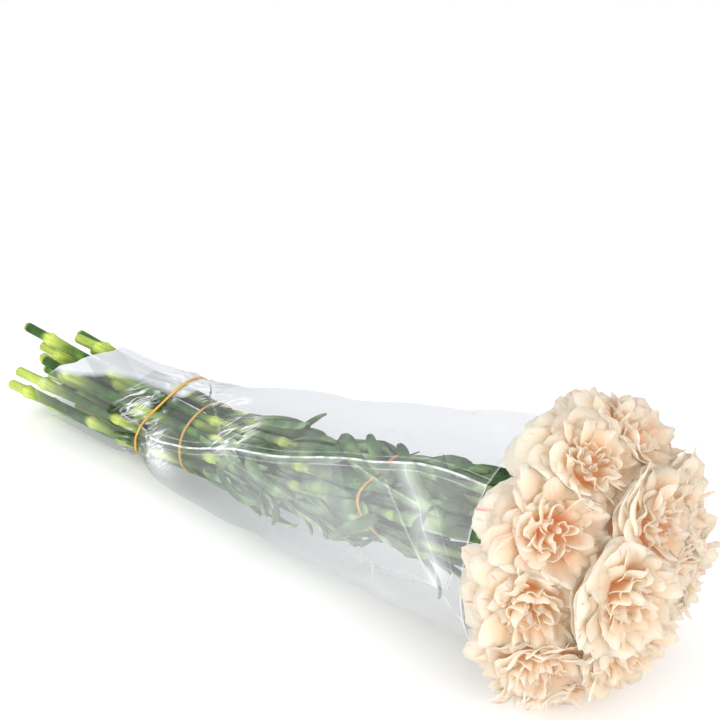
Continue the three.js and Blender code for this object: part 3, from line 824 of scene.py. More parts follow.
# %% Blades of the solid leaves
def solid_blades(stem):
    """For each solid leaf: its root on the stem, the middles of its rows, and its sideways line."""
    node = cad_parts["leafy_stem_%02d" % stem["flower"]["number"]]
    raw = np.array([v.co for v in node.data.vertices]) / MM + ORIGIN
    places, index = np.unique(np.round(raw, 3), axis=0, return_inverse=True)
    index = np.ravel(index)
    path = stem["path"]
    fine = np.linspace(0, path.length, 700)
    gaps = np.linalg.norm(places[:, None] - path.point(fine)[None], axis=2)
    at, off = fine[gaps.argmin(1)], gaps.min(1)
    swell = np.min(np.abs(at[:, None] - np.array(stem["joints"])[None]), axis=1) < 8
    limit = stem_radius(stem, at) * np.where(swell, 1.45, 1.1) + 0.35
    blade = (off > limit) & (at < path.length - 2)
    links = {i: set() for i in np.flatnonzero(blade)}
    for polygon in node.data.polygons:
        corners = [index[v] for v in polygon.vertices]
        for a in corners:
            for b in corners:
                if a != b and blade[a] and blade[b]:
                    links[a].add(b)
    found = []
    while links:
        group, open_ends = set(), [next(iter(links))]
        while open_ends:
            i = open_ends.pop()
            if i in links:
                group.add(i)
                open_ends += links.pop(i)
        if len(group) != 12:
            continue
        group = np.array(sorted(group))
        joint = max([j for j in stem["joints"] if j < at[group].min() + 6], default=at[group].min())
        root = path.point(joint + 7)
        order = np.argsort(np.linalg.norm(places[group] - root, axis=1))
        rows = places[group][order].reshape(3, 4, 3)
        wide = rows[1] - rows[1].mean(0)
        across = np.linalg.svd(wide)[2][0]
        half = np.abs(wide @ across).max()
        found.append((joint + 7, root, rows.mean(1), across, half))
    return found


print("blades found on the first stem:", len(solid_blades(stems[0])))


# %% [markdown]
# A leaf runs along its own path from the stem. It keeps the solid leaf's line and curls at the tip.
# The florist's bands and sleeve press the leaves in, so each is clamped under the bands round the
# stems and inside the film.


# %% Laying a leaf
def laid_leaf(points, across, half, tip_curl, draw, held=True):
    path = Path(points)
    t = (leaf_flat[:, 1] + 1) / 2
    middle, ahead = path.point(t * path.length), path.heading(t * path.length)
    side = across - ahead * (ahead * across).sum(1)[:, None]
    side /= np.linalg.norm(side, axis=1, keepdims=True)
    over = np.cross(side, ahead)
    sway = 1.6 * np.sin(5 * t + 6.3 * draw()) * t
    curl = tip_curl * np.maximum(t - 0.55, 0) ** 2 / 0.2
    back = 0.25 * abs(tip_curl) * np.maximum(t - 0.75, 0) ** 2 / 0.0625
    laid = (
        middle
        + side * (leaf_flat[:, :1] * half + sway[:, None])
        + over * (leaf_flat[:, 2:] * half + curl[:, None])
        - ahead * back[:, None]
    )
    return inside_sleeve(under_bands(laid) if held else laid)


def grown_leaf(stem, s, draw):
    """A leaf beside the solid ones: it leaves the stem at s, runs ahead and bends away."""
    path = stem["path"]
    base, ahead = path.point(s), path.heading(s)
    left, up = sideways(ahead)
    leaning = math.atan2(up @ outward(stem["flower"]["angle"]), left @ outward(stem["flower"]["angle"]))
    angle = leaning + around(draw, 1.3)
    away = left * math.cos(angle) + up * math.sin(angle)
    across = np.cross(away, ahead)
    radius = float(stem_radius(stem, s))
    length, rise = between(draw, 48, 88), 1 + 15 * draw() ** 2
    curl, sway = around(draw, 9), around(draw, 13)
    rise, curl = (rise * 0.4, curl * 0.4) if away[2] > 0.3 else (rise, curl)
    points = [base + away * 0.6 * radius]
    for t in (0.15, 0.4, 0.7, 1.0):
        off = radius + 0.8 + rise * t + curl * t**3
        go = t - 0.2 * draw() * t * t
        points.append(base + away * off + ahead * length * go + across * sway * t * t)
    half = between(draw, 4.2, 6.4)
    tip_curl = around(draw, 14) * (0.3 if away[2] > 0 else 1)
    return laid_leaf(points, across, half, tip_curl, draw)


# %% [markdown]
# A few leaves stand out from the bundle, hooked or hanging inside the film, and those are laid one by
# one: half their width, then places along the bunch, round it, and out from the stems to the film.

# %% Leaves that stand out
LONE_LEAVES = [
    (3.8, [(258, 0.7, 0.0), (268, 0.48, 0.7), (267, 0.27, 1.0), (275, 0.03, 1.0),
           (290, -0.1, 1.0), (305, -0.03, 0.9), (299, 0.06, 0.6)]),
    (4.8, [(276, 0.72, 0.0), (290, 0.6, 0.8), (303, 0.43, 1.0), (320, 0.26, 0.9), (334, 0.23, 0.6)]),
    (4.0, [(402, 0.2, 0.3), (398, 0.12, 0.9), (390, 0.03, 1.0), (379, -0.08, 1.0)]),
    (3.6, [(438, 0.62, 0.1), (447, 0.45, 0.8), (450, 0.28, 1.0), (455, 0.12, 1.0), (461, 0.1, 0.8)]),
    (3.8, [(400, 0.9, 0.1), (394, 1.0, 0.7), (388, 1.13, 1.0), (381, 1.26, 1.0)]),
    (3.8, [(434, 0.7, 0.1), (422, 0.95, 0.7), (415, 1.1, 1.0), (408, 1.21, 1.0)]),
    (5.0, [(384, 0.8, 0.0), (377, 0.95, 0.7), (368, 1.07, 1.0), (358, 1.13, 0.9), (362, 1.02, 0.6)]),
    (4.4, [(466, 0.65, 0.1), (455, 0.85, 0.8), (446, 1.02, 1.0), (439, 1.13, 0.8)]),
    (5.5, [(296, 0.9, 0.0), (320, 0.95, 0.3), (346, 1.0, 0.4), (362, 1.05, 0.5)]),
]  # fmt: skip


def lone_leaf(half, places, draw):
    points = []
    for x, angle, share in places:
        inner, outer = along(OUTER_RING, x) + 1, film_radius(x, angle) - 3
        points.append(axis_point(x) + outward(angle) * (inner + (outer - inner) * share))
    path = Path(points)
    s = (leaf_flat[:, 1] + 1) / 2 * path.length
    middle = path.point(s)
    out = middle - np.stack([middle[:, 0], 0 * s, along(AXIS_HEIGHT, middle[:, 0])], -1)
    return laid_leaf(points, np.cross(path.heading(s), out), half, 0, draw, held=False)


def nearest_stem(angle):
    apart = [abs(math.sin((f["angle"] - angle) / 2)) + (f["share"] < 1) for f in flowers]
    return flowers[int(np.argmin(apart))]["number"]


print("they grow on stems", [nearest_stem(places[0][1]) for _, places in LONE_LEAVES])


# %% [markdown]
# ## A stem
# The stem is a round tube laid along its path. At each joint it swells, and a thin sheath, left by
# the leaves that the florist stripped, wraps it and ends in a little step. The bare ends are plumper,
# their wax is rubbed off, and the cuts are pale. On some stems the whole piece below the lowest
# joint is pale.


# %% Stem tube
BARE_END, RING_SPACING, LEAF_WALL = 125, 6.5, 0.5


def stem_tube(stem):
    path, joints = stem["path"], np.array(stem["joints"])
    spots = [j + d for j in joints for d in (-7, -4, -2, 0, 2, 4, 6.2, 7.2, 7.6, 10)]
    s = np.array(sorted({0.0, 0.5, *np.arange(4, path.length, RING_SPACING), path.length, *spots}))
    s = s[(s >= 0) & (s <= path.length)]
    s = s[np.concatenate([[True], np.diff(s) > 0.25])]
    gap = s[:, None] - joints[None]
    swell = np.exp(-((gap / 3.4) ** 2)).sum(1)
    sheath = ((gap > 0) * np.exp(-((np.maximum(gap, 0) / 24) ** 2)) * (1 - 0.15 * (gap > 7.3))).sum(1)
    x = path.point(s)[:, 0]
    plump = 1.06 + 0.16 * np.clip((BARE_END - x) / 40, 0, 1)
    radius = stem_radius(stem, s) * (plump + 0.26 * swell) + (0.45 + 0.75 * (x < BARE_END)) * sheath
    radius[0] -= 0.35
    turn = np.linspace(0, 2 * math.pi, 12, endpoint=False)
    left, up = sideways(path.heading(s))
    round_way = left[:, None] * np.sin(turn)[:, None] + up[:, None] * np.cos(turn)[:, None]
    rings = path.point(s)[:, None] + radius[:, None, None] * round_way
    pale = np.clip((0.8 * swell + 1.1 * sheath) * (0.4 + 0.6 * np.clip(1 - (x - 200) / 200, 0, 1)), 0, 1)
    if stem["flower"]["number"] % 5 in (1, 3):
        pale[s < joints.min()] = 0.75
    pale[s < 2.5] = 0.8
    wax = np.clip((x - 190) / 130, 0.03, 0.95)
    return laid_tube("stem", rings, {"pale": pale, "wax": wax})


# %% [markdown]
# ## The calyx
# The bloom sits in a green tube with five pointed teeth, and small scales wrap its foot.


# %% Calyx cup
def calyx(stem):
    flower = stem["flower"]
    left, up = sideways(flower["heading"])
    turn = np.linspace(0, 2 * math.pi, 20, endpoint=False)
    tooth = np.array([0, 0.45, 1, 0.45] * 5)
    profile = [
        (-2.5, 2.3, 0), (0, 3.6, 0), (3, 5.9, 0), (7, 6.7, 0), (8, 6.3, 0), (16, 6.9, 0),
        (23, 7.4, 0), (26.5, 7.8, 0.6), (27.5, 8.0, 3.2), (26, 7.3, 1.2), (22, 6.8, 0), (19, 6.0, 0),
    ]  # fmt: skip
    foot = flower["mouth"] - flower["heading"] * CALYX_LENGTH
    rings = []
    for height, radius, teeth in profile:
        out = radius + 0.35 * teeth * tooth / 3.2
        lift = height + teeth * tooth
        rings.append(
            foot
            + lift[:, None] * flower["heading"]
            + out[:, None] * (left * np.sin(turn)[:, None] + up * np.cos(turn)[:, None])
        )
    notes = {"pale": np.linspace(0.45, 0.3, len(profile)), "wax": np.full(len(profile), 0.45)}
    return laid_tube("calyx", np.array(rings), notes)


# %% [markdown]
# Each stem, its leaves and its calyx are one grown piece. The leaves of the solid stem come first,
# then more between them, most on the lower stems, and then the ones that stand out.

# %% Leafy stems
def leafy_stem(stem):
    number = stem["flower"]["number"]
    draw = seeded(900 + number)
    laid = []
    for s, root, rows, across, half in solid_blades(stem):
        laid.append(laid_leaf([root, *rows], across, half, around(draw, 10), draw))
    kept = len(laid)
    fine = np.linspace(0, stem["path"].length, 200)
    fine_x = stem["path"].point(fine)[:, 0]
    low = -math.sin(stem["flower"]["angle"]) * stem["flower"]["share"]
    for _ in range(round(9 + 5 * low) if stem["flower"]["share"] == 1 else 4):
        laid.append(grown_leaf(stem, float(np.interp(between(draw, 205, 440), fine_x, fine)), draw))
    grown = len(laid)
    for half, places in LONE_LEAVES:
        if nearest_stem(places[0][1]) == number:
            laid.append(lone_leaf(half, places, draw))
    waxy = [between(draw, 0.35, 1.0) if i < grown else between(draw, 0.2, 0.4) for i in range(len(laid))]
    wax = np.repeat(waxy, len(leaf_flat))
    tip = np.tile(np.clip(0.25 - (leaf_flat[:, 1] + 1) / 2, 0, 1), len(laid))
    leaves = gathered("leaves", leaf_master, laid, {"pale": tip, "wax": wax})
    apply_wall(leaves, LEAF_WALL)
    parts = [stem_tube(stem), calyx(stem)]
    only(leaves)
    for part in parts:
        part.select_set(True)
    bpy.ops.object.join()
    piece = bpy.context.object
    piece.name = piece.data.name = "waxy_stem_%02d" % number
    piece.data.materials.append(green_finish)
    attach(piece, "root")
    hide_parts("leafy_stem_%02d" % number)
    return kept


kept = [leafy_stem(stem) for stem in stems]
bpy.data.objects.remove(leaf_master)
print("solid leaves found on each stem:", kept)

# %% [markdown]
# ## Film finish
# The sleeve is clear polypropylene film, drawn from the melt to about 0.04 mm, which leaves both
# faces glossy. Where it is rubbed or creased it turns white and hazy, and the glossy film mirrors
# the bright room. It is drawn as a little white film over clear space, which is partly that haze and
# partly painted reflection: the more it is veiled, creased or seen edge-on, the more of the white
# shows. The seams, the folded strip and the sharp creases are white lines, broken up by the film's
# fine grain; on the sharp creases and crumples the white is partly painted highlights.


# %% Clear film
def clear_film():
    made, tree = material("clear_polypropylene_film")
    body = add(tree, "ShaderNodeTexCoord").outputs["Object"]
    noted = {
        name: add(tree, "ShaderNodeAttribute", {"attribute_name": name}).outputs["Fac"]
        for name in ("veil", "crease", "seam", "fold", "streak", "crumple", "ridge_long", "ridge_wide")
    }
    # Haze and painted reflection in drifts 140 mm long and 42 mm wide, and a grain of 7 mm, coarser than
    # the real one.
    stretched = add(tree, "ShaderNodeMapping", {"Scale": (7.0, 24.0, 24.0)}, {"Vector": body})
    drifts = {"Scale": 1.0, "Detail": 4.0, "Roughness": 0.6}
    haze = add(tree, "ShaderNodeTexNoise", drifts, {"Vector": stretched})
    fine = add(tree, "ShaderNodeTexNoise", {"Scale": 140.0, "Detail": 2.0}, {"Vector": body})
    bump = add(tree, "ShaderNodeBump", {"Strength": 0.12, "Distance": 0.0006}, {"Height": fine})
    edge = add(tree, "ShaderNodeLayerWeight", {"Blend": 0.25}, {"Normal": bump})
    breaks = {"From Min": 0.35, "From Max": 0.6, "To Min": 0.35, "To Max": 1.0}
    uneven = add(tree, "ShaderNodeMapRange", breaks, {"Value": fine})
    drift = add(tree, "ShaderNodeMath", {"operation": "MULTIPLY_ADD", 1: 0.06, 2: -0.03}, {0: haze})
    white = add(tree, "ShaderNodeMath", {"operation": "ADD"}, {0: noted["veil"], 1: drift})
    # Each white line lies where a note passes a value: how far off the line is still full and where
    # it ends, its strength, and whether the grain breaks it up.
    # On the sharp creases the white line is partly the film's own whitening and partly a painted
    # highlight.
    for name, middle, full, end, strength, broken in (
        ("fold", -1.0, 0.1, 2.1, 0.22, False),
        ("seam", 0.0, 0.3, 0.95, 0.75, True),
        ("seam", 4.2, 0.1, 0.6, 0.22, True),
        ("fold", 1.0, 0.02, 0.12, 0.14, True),
        ("fold", -1.0, 0.02, 0.1, 0.2, True),
        ("streak", 0.0, 0.1, 0.8, 0.32, True),
    ):
        apart = add(tree, "ShaderNodeMath", {"operation": "SUBTRACT", 1: middle}, {0: noted[name]})
        off = add(tree, "ShaderNodeMath", {"operation": "ABSOLUTE"}, {0: apart})
        fading = {"From Min": full, "From Max": end, "To Min": strength, "To Max": 0.0}
        line = add(tree, "ShaderNodeMapRange", fading, {"Value": off})
        if broken:
            line = add(tree, "ShaderNodeMath", {"operation": "MULTIPLY"}, {0: line, 1: uneven})
        white = add(tree, "ShaderNodeMath", {"operation": "ADD"}, {0: line, 1: white})
    # Crumpled film gets a web of thin white ridges, painted highlights on its crumples: the places
    # where a noise, drawn out to 29 mm by 4.5 mm, passes its middle.
    slanted = add(tree, "ShaderNodeCombineXYZ", links={0: noted["ridge_long"], 1: noted["ridge_wide"]})
    web = add(tree, "ShaderNodeTexNoise", {"Scale": 1.0, "Detail": 1.0}, {"Vector": slanted})
    apart = add(tree, "ShaderNodeMath", {"operation": "SUBTRACT", 1: 0.5}, {0: web})
    off = add(tree, "ShaderNodeMath", {"operation": "ABSOLUTE"}, {0: apart})
    thin = {"From Min": 0.01, "From Max": 0.05, "To Min": 0.75, "To Max": 0.08}
    ridge_glints = add(tree, "ShaderNodeMapRange", thin, {"Value": off})
    webbed = {0: noted["crumple"], 1: ridge_glints, 2: white}
    white = add(tree, "ShaderNodeMath", {"operation": "MULTIPLY_ADD"}, webbed)
    # The creases add white, the pleat crests among them as painted glints, and a little white seen
    # edge-on stands for painted reflection.
    for source, share in ((noted["crease"], 0.8), (edge.outputs["Fresnel"], 0.08)):
        shared = {"operation": "MULTIPLY_ADD", 1: share}
        white = add(tree, "ShaderNodeMath", shared, {0: source, 2: white})
    white = add(tree, "ShaderNodeClamp", {"Min": 0.006, "Max": 0.85}, {"Value": white})
    rough = add(tree, "ShaderNodeMapRange", {"To Min": 0.08, "To Max": 0.25}, {"Value": haze})
    # The white turns greyer where it is heavier, a painted shade, and the clear part lets more through
    # there, which lightens the shade seen through the film.
    milky_with_painted_shade, see_through = [
        add(tree, "ShaderNodeValToRGB", {"stops": stops}, {"Fac": noted["veil"]})
        for stops in ([(0.15, "#EBEDF0"), (0.6, "#D2D5DA")], [(0.08, "#F2F3F5"), (0.16, "#FCFCFD")])
    ]
    gloss = add(
        tree,
        "ShaderNodeBsdfPrincipled",
        {"IOR": 1.49, "Specular IOR Level": 0.5},
        {"Base Color": milky_with_painted_shade, "Roughness": rough, "Normal": bump},
    )
    clear = add(tree, "ShaderNodeBsdfTransparent", links={"Color": see_through})
    both = add(tree, "ShaderNodeMixShader", links={0: white, 1: clear, 2: gloss})
    add(tree, "ShaderNodeOutputMaterial", links={"Surface": both})
    return made


film_finish = clear_film()
print("nodes in the film finish:", len(film_finish.node_tree.nodes))

# %% [markdown]
# ## The film sleeve
# Thin film cannot stretch, so it does not bulge like cloth: it breaks into flat facets that meet in
# sharp straight creases. Uneven heights are given to a loose net of points and joined by flat
# triangles, and every crease of that net is noted, for the finish to turn white.

# %% Lines on the film
FILM_COLUMNS, FILM_ROWS = 300, 260
TAIL_EDGE = [(-1.58, 12), (0, 34), (0.73, 53), (0.99, 67), (1.64, 85), (3.14, 46), (4.72, 12)]
FOLD_LINE = [(-0.05, 479), (0.13, 481), (0.53, 463), (0.87, 437)]
# Sharp creases, each between two places: along the bunch, and the angle round it.
CREASES = [
    (143, 0.52, 173, 1.13), (146, 0.59, 164, 0.9), (154, 0.54, 171, 1.0), (159, 0.67, 165, 0.52),
    (143, 0.52, 165, 0.29), (187, 0.53, 187, 0.26), (187, 0.53, 197, 0.27), (187, 0.53, 214, 0.0),
    (263, 0.54, 265, 0.81), (265, 0.81, 284, 1.12), (265, 0.69, 280, 0.94), (284, 0.65, 282, 0.95),
    (284, 0.65, 296, 0.51), (270, 0.6, 284, 0.65), (396, 0.78, 453, 0.58), (445, 0.94, 476, 1.34),
    (476, 1.34, 484, 1.98),
]  # fmt: skip
BOLD_CREASES = 5
CRUMPLES = [(152, 0.8, 14, 14), (276, 0.82, 17, 15), (190, 0.3, 22, 14), (240, 1.3, 26, 7)]
TOP_REFLECTION_EDGE = [(60, 0.6), (77, 0.69), (95, 0.84), (113, 1.03), (141, 1.12), (188, 1.16), (206, 1.31)]
print("sharp creases:", len(CREASES), "crumples:", len(CRUMPLES))


# %% [markdown]
# A net of facets has a random height at each knot, and each row is shifted by its own amount. A point
# of the film finds the triangle it lies in, takes its height from the three knots, and notes how
# near it is to a side of the triangle: most sides hardly show, and a few are sharp creases.

# %% Facets of the film
def facets(u, v, seed, rows, columns):
    """Height of a net at u along and v round, nearness to a crease, and the facet's own number."""
    draw = seeded(seed)
    heights = np.array([[draw() for _ in range(columns)] for _ in range(rows + 2)])
    shown = np.array([[[draw() ** 5 for _ in range(3)] for _ in range(columns)] for _ in range(rows + 1)])
    panes = np.array([[[draw(), draw()] for _ in range(columns)] for _ in range(rows + 1)])
    lean = np.array([draw() for _ in range(rows + 2)]) * 0.8
    across = u * rows
    i = np.clip(np.floor(across).astype(int), 0, rows - 1)
    a = across - i
    round_way = (v * columns + lean[i] * (1 - a) + lean[i + 1] * a) % columns
    j = np.floor(round_way).astype(int) % columns
    b = round_way - np.floor(round_way)
    k = (j + 1) % columns
    lower = a + b < 1
    height = np.where(
        lower,
        heights[i, j] + a * (heights[i + 1, j] - heights[i, j]) + b * (heights[i, k] - heights[i, j]),
        heights[i + 1, k]
        + (1 - a) * (heights[i, k] - heights[i + 1, k])
        + (1 - b) * (heights[i + 1, j] - heights[i + 1, k]),
    )
    pane = np.where(lower, panes[i, j, 0], panes[i, j, 1])
    thin = 0.02
    lines = [
        np.maximum(0, 1 - np.abs(a + b - 1) / thin) * shown[i, j, 0],
        np.maximum(0, 1 - np.minimum(b, 1 - b) / thin)
        * np.where(b < 0.5, shown[i, j, 1], shown[i, k, 1]),
        0.6 * np.maximum(0, 1 - np.minimum(a, 1 - a) / (thin * 0.6))
        * np.where(a < 0.5, shown[i, j, 2], shown[i + 1, j, 2]),
    ]  # fmt: skip
    return height, np.maximum.reduce(lines), pane


sample = facets(np.array([0.2, 0.7]), np.array([0.1, 0.1]), 31, 7, 8)
print("heights of a net at two places:", sample[0].round(2).tolist())


# %% [markdown]
# The film's points lie closest together at the two seams, whose ridges are narrow. The cut edge at
# the tail isn't straight, so the sleeve starts at another place at each angle.

# %% Places on the film
def film_places():
    """Where the points of the film lie: along the bunch, and the angle round it."""
    turns = np.linspace(0, 2 * math.pi, FILM_COLUMNS, endpoint=False)
    turns = turns - 0.32 * np.sin(2 * turns)
    t = np.linspace(0, 1, FILM_ROWS)[:, None]
    angle = seam_angle(60 + (SLEEVE_MOUTH - 60) * t) - turns
    angle = (angle + math.pi / 2) % (2 * math.pi) - math.pi / 2
    tail = along(TAIL_EDGE, angle[0])
    return tail + (SLEEVE_MOUTH - tail) * t, angle


film_x, film_angle = film_places()
film_base = film_radius(film_x, film_angle)
print("the tail starts at, mm:", film_x[0].min().round(1), "to", film_x[0].max().round(1))


# %% [markdown]
# Two nets of facets, one coarse and one fine, loosen the film where nothing holds it. Pleats run out
# from the first band, and the two flat seams stand out at the sides.

# %% Relief of the film
PLEATS_ROUND, PLEAT_HEIGHT, SEAM_RIDGE = 31, 3.0, 1.5


def film_relief(x, angle):
    """How far the film stands off its plain radius, its white creases and painted glints, and its facets'
    numbers.
    """
    off = np.abs(x - BANDS[0][0] - BANDS[0][1] * np.sin(angle))
    open_share = 1 - np.exp(-((np.maximum(off - 3, 0) / 22) ** 2))
    loose = open_share * np.clip((x - 100) / 80, 0.25, 1)
    round_share = (angle / (2 * math.pi)) % 1
    big, big_lines, panes = facets(x / SLEEVE_MOUTH, round_share, 31, 7, 8)
    small, small_lines, _ = facets(x / SLEEVE_MOUTH, (round_share + 0.03) % 1, 57, 24, 22)
    wander = 0.5 * np.sin(3 * angle + 1) + 0.35 * np.sin(7 * angle + 2)
    pleat_reach = np.clip((off - 3) / 5, 0, 1) * np.exp(-np.maximum(off - 9, 0) / 15)
    pleats = pleat_reach * (0.5 + 0.5 * np.sin(PLEATS_ROUND * angle + 3 * wander + 0.03 * off))
    relief = loose * (5.5 * (big - 0.1) + 1.2 * small) + PLEAT_HEIGHT * pleats
    from_seam = np.arcsin(np.sin(angle - seam_angle(x)))
    relief = relief + SEAM_RIDGE * np.exp(-((from_seam / 0.022) ** 2)) * open_share * (x > 156)
    crease = open_share * np.maximum(0.35 * big_lines, 0.08 * small_lines)
    # The crests of the pleats are painted white as glints, and the cut edges at the tail and the mouth
    # are drawn white.
    crease = np.maximum(crease, 0.5 * pleats**5)
    crease[-1], crease[0] = 0.45, 0.3
    return relief, crease, panes


relief, crease, panes = film_relief(film_x, film_angle)
print("the film stands off by, mm:", relief.min().round(1), "to", relief.max().round(1))


# %% [markdown]
# The sharp creases are straight lines from place to place, and each is a low ridge as well, with
# a white line that is partly a painted highlight. Where the film is crumpled, the finish draws a web
# of white ridges that runs on the slant, as painted highlights.

# %% Sharp creases and crumples
def nearest_crease(x, angle, base):
    """How far a point is from the nearest sharp crease, counted in that crease's width."""
    streak = np.full(x.shape, 9.0)
    for number, (x0, turn0, x1, turn1) in enumerate(CREASES):
        way = np.stack([x1 - x0 + 0 * base, (turn1 - turn0) * base], -1)
        here = np.stack([x - x0, (angle - turn0) * base], -1)
        share = np.clip((here * way).sum(-1) / (way * way).sum(-1), 0, 1)
        away = np.linalg.norm(here - way * share[..., None], axis=-1)
        streak = np.minimum(streak, away / (1.3 if number < BOLD_CREASES else 0.9))
    return streak


def crumpled(x, angle, base):
    crumple = np.zeros(x.shape)
    for place, turn, long, wide in CRUMPLES:
        off = ((x - place) / long) ** 4 + ((angle - turn) * base / wide) ** 4
        crumple = np.maximum(crumple, np.exp(-off))
    return crumple


streak = nearest_crease(film_x, film_angle, film_base)
print("points on a sharp crease:", int((streak < 1).sum()))


# %% [markdown]
# The film gets a painted white reflection, with a little haze: heaviest over the top from the tail
# to the second band, in a patch on the near side of that band, and lightly below the seams towards
# the mouth. Near the mouth a strip of the near side is folded over.

# %% Veil and fold
def film_haze_and_painted_reflection(x, angle, panes):
    """How much white the film gets, as haze and painted reflection, from clear to white."""
    below_seam = (angle < seam_angle(x)) | (angle > math.pi * 1.25)
    far = np.clip((x - 230) / 110, 0, 1)
    # Each facet's own number gives it more or less painted reflection, as facets catch the light
    # unevenly, and the white below the seams also lightens the shade under the bunch seen through the
    # film.
    veil = (0.01 + 0.06 * panes + 0.15 * below_seam) * far + 0.02 * panes * np.clip((150 - x) / 50, 0, 1)
    veil = veil + 0.45 * np.exp(-(((x - 198) / 22) ** 2) - ((angle - 0.14) / 0.26) ** 2)
    over_top = np.clip((angle - along(TOP_REFLECTION_EDGE, x)) / 0.14, 0, 1) * np.clip((2.5 - angle) / 0.3, 0, 1)
    return veil + over_top * np.clip((222 - x) / 25, 0, 1) * (0.55 + 0.25 * panes)


def folded_strip(x, angle):
    """The place across the strip that is folded over: from -1 at one edge to 1 at the other."""
    half = 4 + 3 * np.sin(np.clip((angle + 0.05) / 0.92, 0, 1) * math.pi)
    fold = (x - along(FOLD_LINE, angle)) / half
    return np.where((angle > -0.06) & (angle < 0.88), fold, 9)


veil = film_haze_and_painted_reflection(film_x, film_angle, panes)
print("share of the film that is veiled:", (veil > 0.2).mean().round(2))


# %% [markdown]
# The sleeve is one sheet, 0.48 m round the mouth and 0.48 m long, that tapers to the cut ends. It is
# gathered by the first band and rests under it.

# %% Sleeve
CREASE_RIDGE = 0.9


def film_sleeve(x, angle, base):
    radius = base + relief + CREASE_RIDGE * np.exp(-((streak / 1.5) ** 2))
    points = np.stack([x, -np.cos(angle) * radius, along(AXIS_HEIGHT, x) + np.sin(angle) * radius], -1)
    points[..., 2] = np.maximum(points[..., 2], 0.4)
    rings = np.concatenate([points, points[:, :1]], axis=1)
    piece = flat_grid("film_sleeve", FILM_COLUMNS, FILM_ROWS - 1)
    piece.data.vertices.foreach_set("co", in_frame(rings.reshape(-1, 3)).ravel())
    from_seam = np.abs(np.arcsin(np.sin(angle - seam_angle(x)))) * base
    drawn = {
        "crumple": crumpled(x, angle, base),
        "ridge_long": 0.035 * (0.78 * x + 0.62 * angle * base),
        "ridge_wide": 0.22 * (0.62 * x - 0.78 * angle * base),
        "crease": crease,
        "veil": veil,
        "seam": from_seam + np.clip(0.2 * (170 - x), 0, 9),
        "fold": folded_strip(x, angle),
        "streak": streak,
    }
    for name, values in drawn.items():
        note(piece, name, np.concatenate([values, values[:, :1]], axis=1))
    only(piece)
    bpy.ops.object.mode_set(mode="EDIT")
    bpy.ops.mesh.select_all(action="SELECT")
    bpy.ops.mesh.remove_doubles(threshold=1e-5)
    bpy.ops.mesh.normals_make_consistent(inside=False)
    bpy.ops.object.mode_set(mode="OBJECT")
    bpy.ops.object.shade_smooth()
    piece.data.materials.append(film_finish)
    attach(piece, "root")
    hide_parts("clear_sleeve")
    return piece


sleeve = film_sleeve(film_x, film_angle, film_base)
print("film faces:", len(sleeve.data.polygons))


# %% [markdown]
# ## Rubber bands
# The bands are plain tan rubber, cut from a tube, so their section is nearly square with soft
# edges. The first holds the sleeve from outside, and the other two hold the stems. They hang where
# they have slipped to, a little askew.


# %% Natural rubber
def natural_rubber():
    made, tree = material("natural_rubber_band")
    body = add(tree, "ShaderNodeTexCoord").outputs["Object"]
    # Extruded and cured rubber is satin, and its tan is a little uneven: here in patches of 8 mm.
    patches = add(tree, "ShaderNodeTexNoise", {"Scale": 120.0, "Detail": 3.0}, {"Vector": body})
    tans = [(0.3, "#BE8A2C"), (0.7, "#DBA945")]
    colour = add(tree, "ShaderNodeValToRGB", {"stops": tans}, {"Fac": patches})
    bump = add(tree, "ShaderNodeBump", {"Strength": 0.2, "Distance": 0.0003}, {"Height": patches})
    skin = add(
        tree,
        "ShaderNodeBsdfPrincipled",
        {"Roughness": 0.5, "IOR": 1.52},
        {"Base Color": colour, "Normal": bump},
    )
    add(tree, "ShaderNodeOutputMaterial", links={"Surface": skin})
    return made


rubber_finish = natural_rubber()
print("nodes in the rubber finish:", len(rubber_finish.node_tree.nodes))


# %% [markdown]
# A band is a closed tube with eight sides. The first lies on the film, over its slack, and the other
# two lie on the outer stems. A slight wave along it keeps it from looking machined.

# %% Bands
BAND_HALF_WIDTH, BAND_HALF_THICKNESS = 1.15, 0.7


def rubber_band(number):
    turn = math.pi - np.linspace(0, 2 * math.pi, 96, endpoint=False)
    x = band_place(number - 1, turn)
    if number == 1:
        inner = along(OUTER_RING, x) + STEM_CUT_RADIUS + 2 * SEAT_GAP + SOLID_FILM + slack(turn)
    else:
        inner = bundle_radius(x) + SEAT_GAP
    section = np.linspace(0, 2 * math.pi, 8, endpoint=False)
    rings = []
    for corner in section:
        out = inner + BAND_HALF_THICKNESS * (1 + np.sin(corner))
        side = x + BAND_HALF_WIDTH * np.cos(corner) + 0.4 * np.sin(5 * turn + number)
        height = along(AXIS_HEIGHT, x) + np.sin(turn) * out
        rings.append(np.stack([side, -np.cos(turn) * out, height], -1))
    rings = np.array(rings)
    piece = laid_tube("band_%d" % number, np.concatenate([rings, rings[:1]]), {}, ends_closed=False)
    piece.data.materials.append(rubber_finish)
    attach(piece, "root")
    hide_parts("rubber_band_%d" % number)
    return piece


bands = [rubber_band(number) for number in (1, 2, 3)]
print("faces in a band:", len(bands[0].data.polygons))

# %% [markdown]
# ## The table
# The bunch lies on a table painted matt white with a roller, so its shadow is pale and close and
# nothing is mirrored. The paint is a little rougher in some places, in patches of 330 mm.


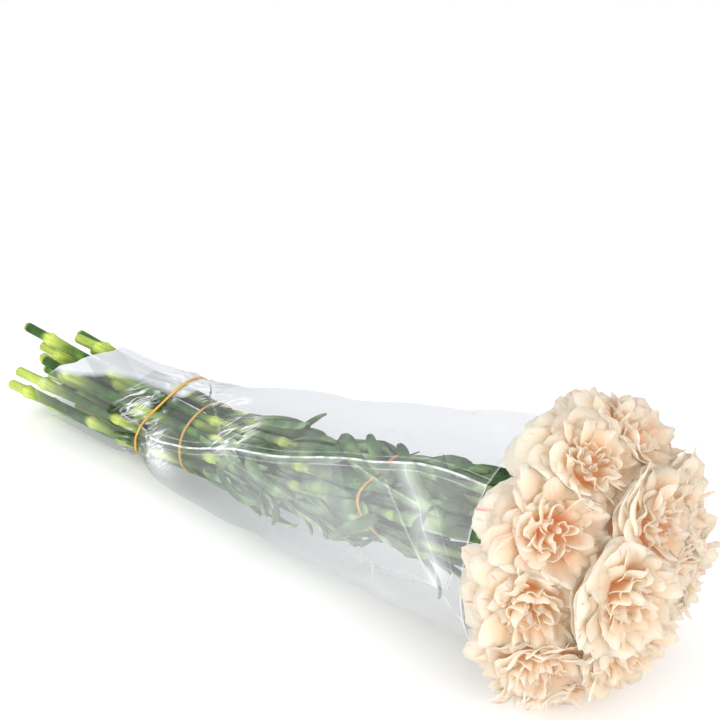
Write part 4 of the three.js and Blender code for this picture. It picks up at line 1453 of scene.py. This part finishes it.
# %% Table
def white_table():
    made, tree = material("white_table_top")
    body = add(tree, "ShaderNodeTexCoord").outputs["Object"]
    cloud = add(tree, "ShaderNodeTexNoise", {"Scale": 3.0}, {"Vector": body})
    rough = add(tree, "ShaderNodeMapRange", {"To Min": 0.75, "To Max": 0.85}, {"Value": cloud})
    skin = add(
        tree,
        "ShaderNodeBsdfPrincipled",
        {"Base Color": linear("#FCFCFC"), "Specular IOR Level": 0.1},
        {"Roughness": rough},
    )
    add(tree, "ShaderNodeOutputMaterial", links={"Surface": skin})
    return made


nothing_selected()
bpy.ops.mesh.primitive_plane_add(size=12, location=(0, 0, -0.0002))
table = bpy.context.object
table.name = "table_top"
table.data.materials.append(white_table())

# %% [markdown]
# ## Light
# A white room gives light from all sides. Two wide round lamps, one beyond the blooms and one on the
# near side, shade the petals softly.

# %% Light
world = bpy.data.worlds.new("white_room")
bpy.context.scene.world = world
world.use_nodes = True
world.node_tree.nodes["Background"].inputs["Color"].default_value = (1, 1, 1, 1)
world.node_tree.nodes["Background"].inputs["Strength"].default_value = 1.0


def soft_light(name, place, size, power):
    lamp = bpy.data.lights.new(name, "AREA")
    lamp.shape, lamp.size, lamp.energy = "DISK", size, power
    piece = bpy.data.objects.new(name, lamp)
    bpy.context.scene.collection.objects.link(piece)
    piece.location = place
    piece.rotation_euler = (Vector((0.1, 0, 0.05)) - Vector(place)).to_track_quat("-Z", "Y").to_euler()


soft_light("front_softbox", (1.8, -0.7, 0.95), 1.4, 17)
soft_light("side_softbox", (-0.4, -1.8, 0.8), 1.4, 23)

# %% [markdown]
# ## Camera
# The camera stands 0.7 m from a point between stems and blooms, turned 41 degrees towards the
# blooms from square on, and looks down at 26 degrees through a slightly long lens.

# %% Camera
azimuth, elevation, distance = math.radians(40.73), math.radians(25.94), 0.70455
aim = Vector((0.0723, 0, 0.15885))
back = Vector(
    (
        math.sin(azimuth) * math.cos(elevation),
        -math.cos(azimuth) * math.cos(elevation),
        math.sin(elevation),
    )
)
lens = bpy.data.cameras.new("camera")
lens.lens, lens.sensor_width = 54.51, 36
camera = bpy.data.objects.new("camera", lens)
bpy.context.scene.collection.objects.link(camera)
camera.location = aim + back * distance
camera.rotation_euler = (-back).to_track_quat("-Z", "Y").to_euler()
bpy.context.scene.camera = camera
bpy.context.scene.view_settings.view_transform = "Standard"
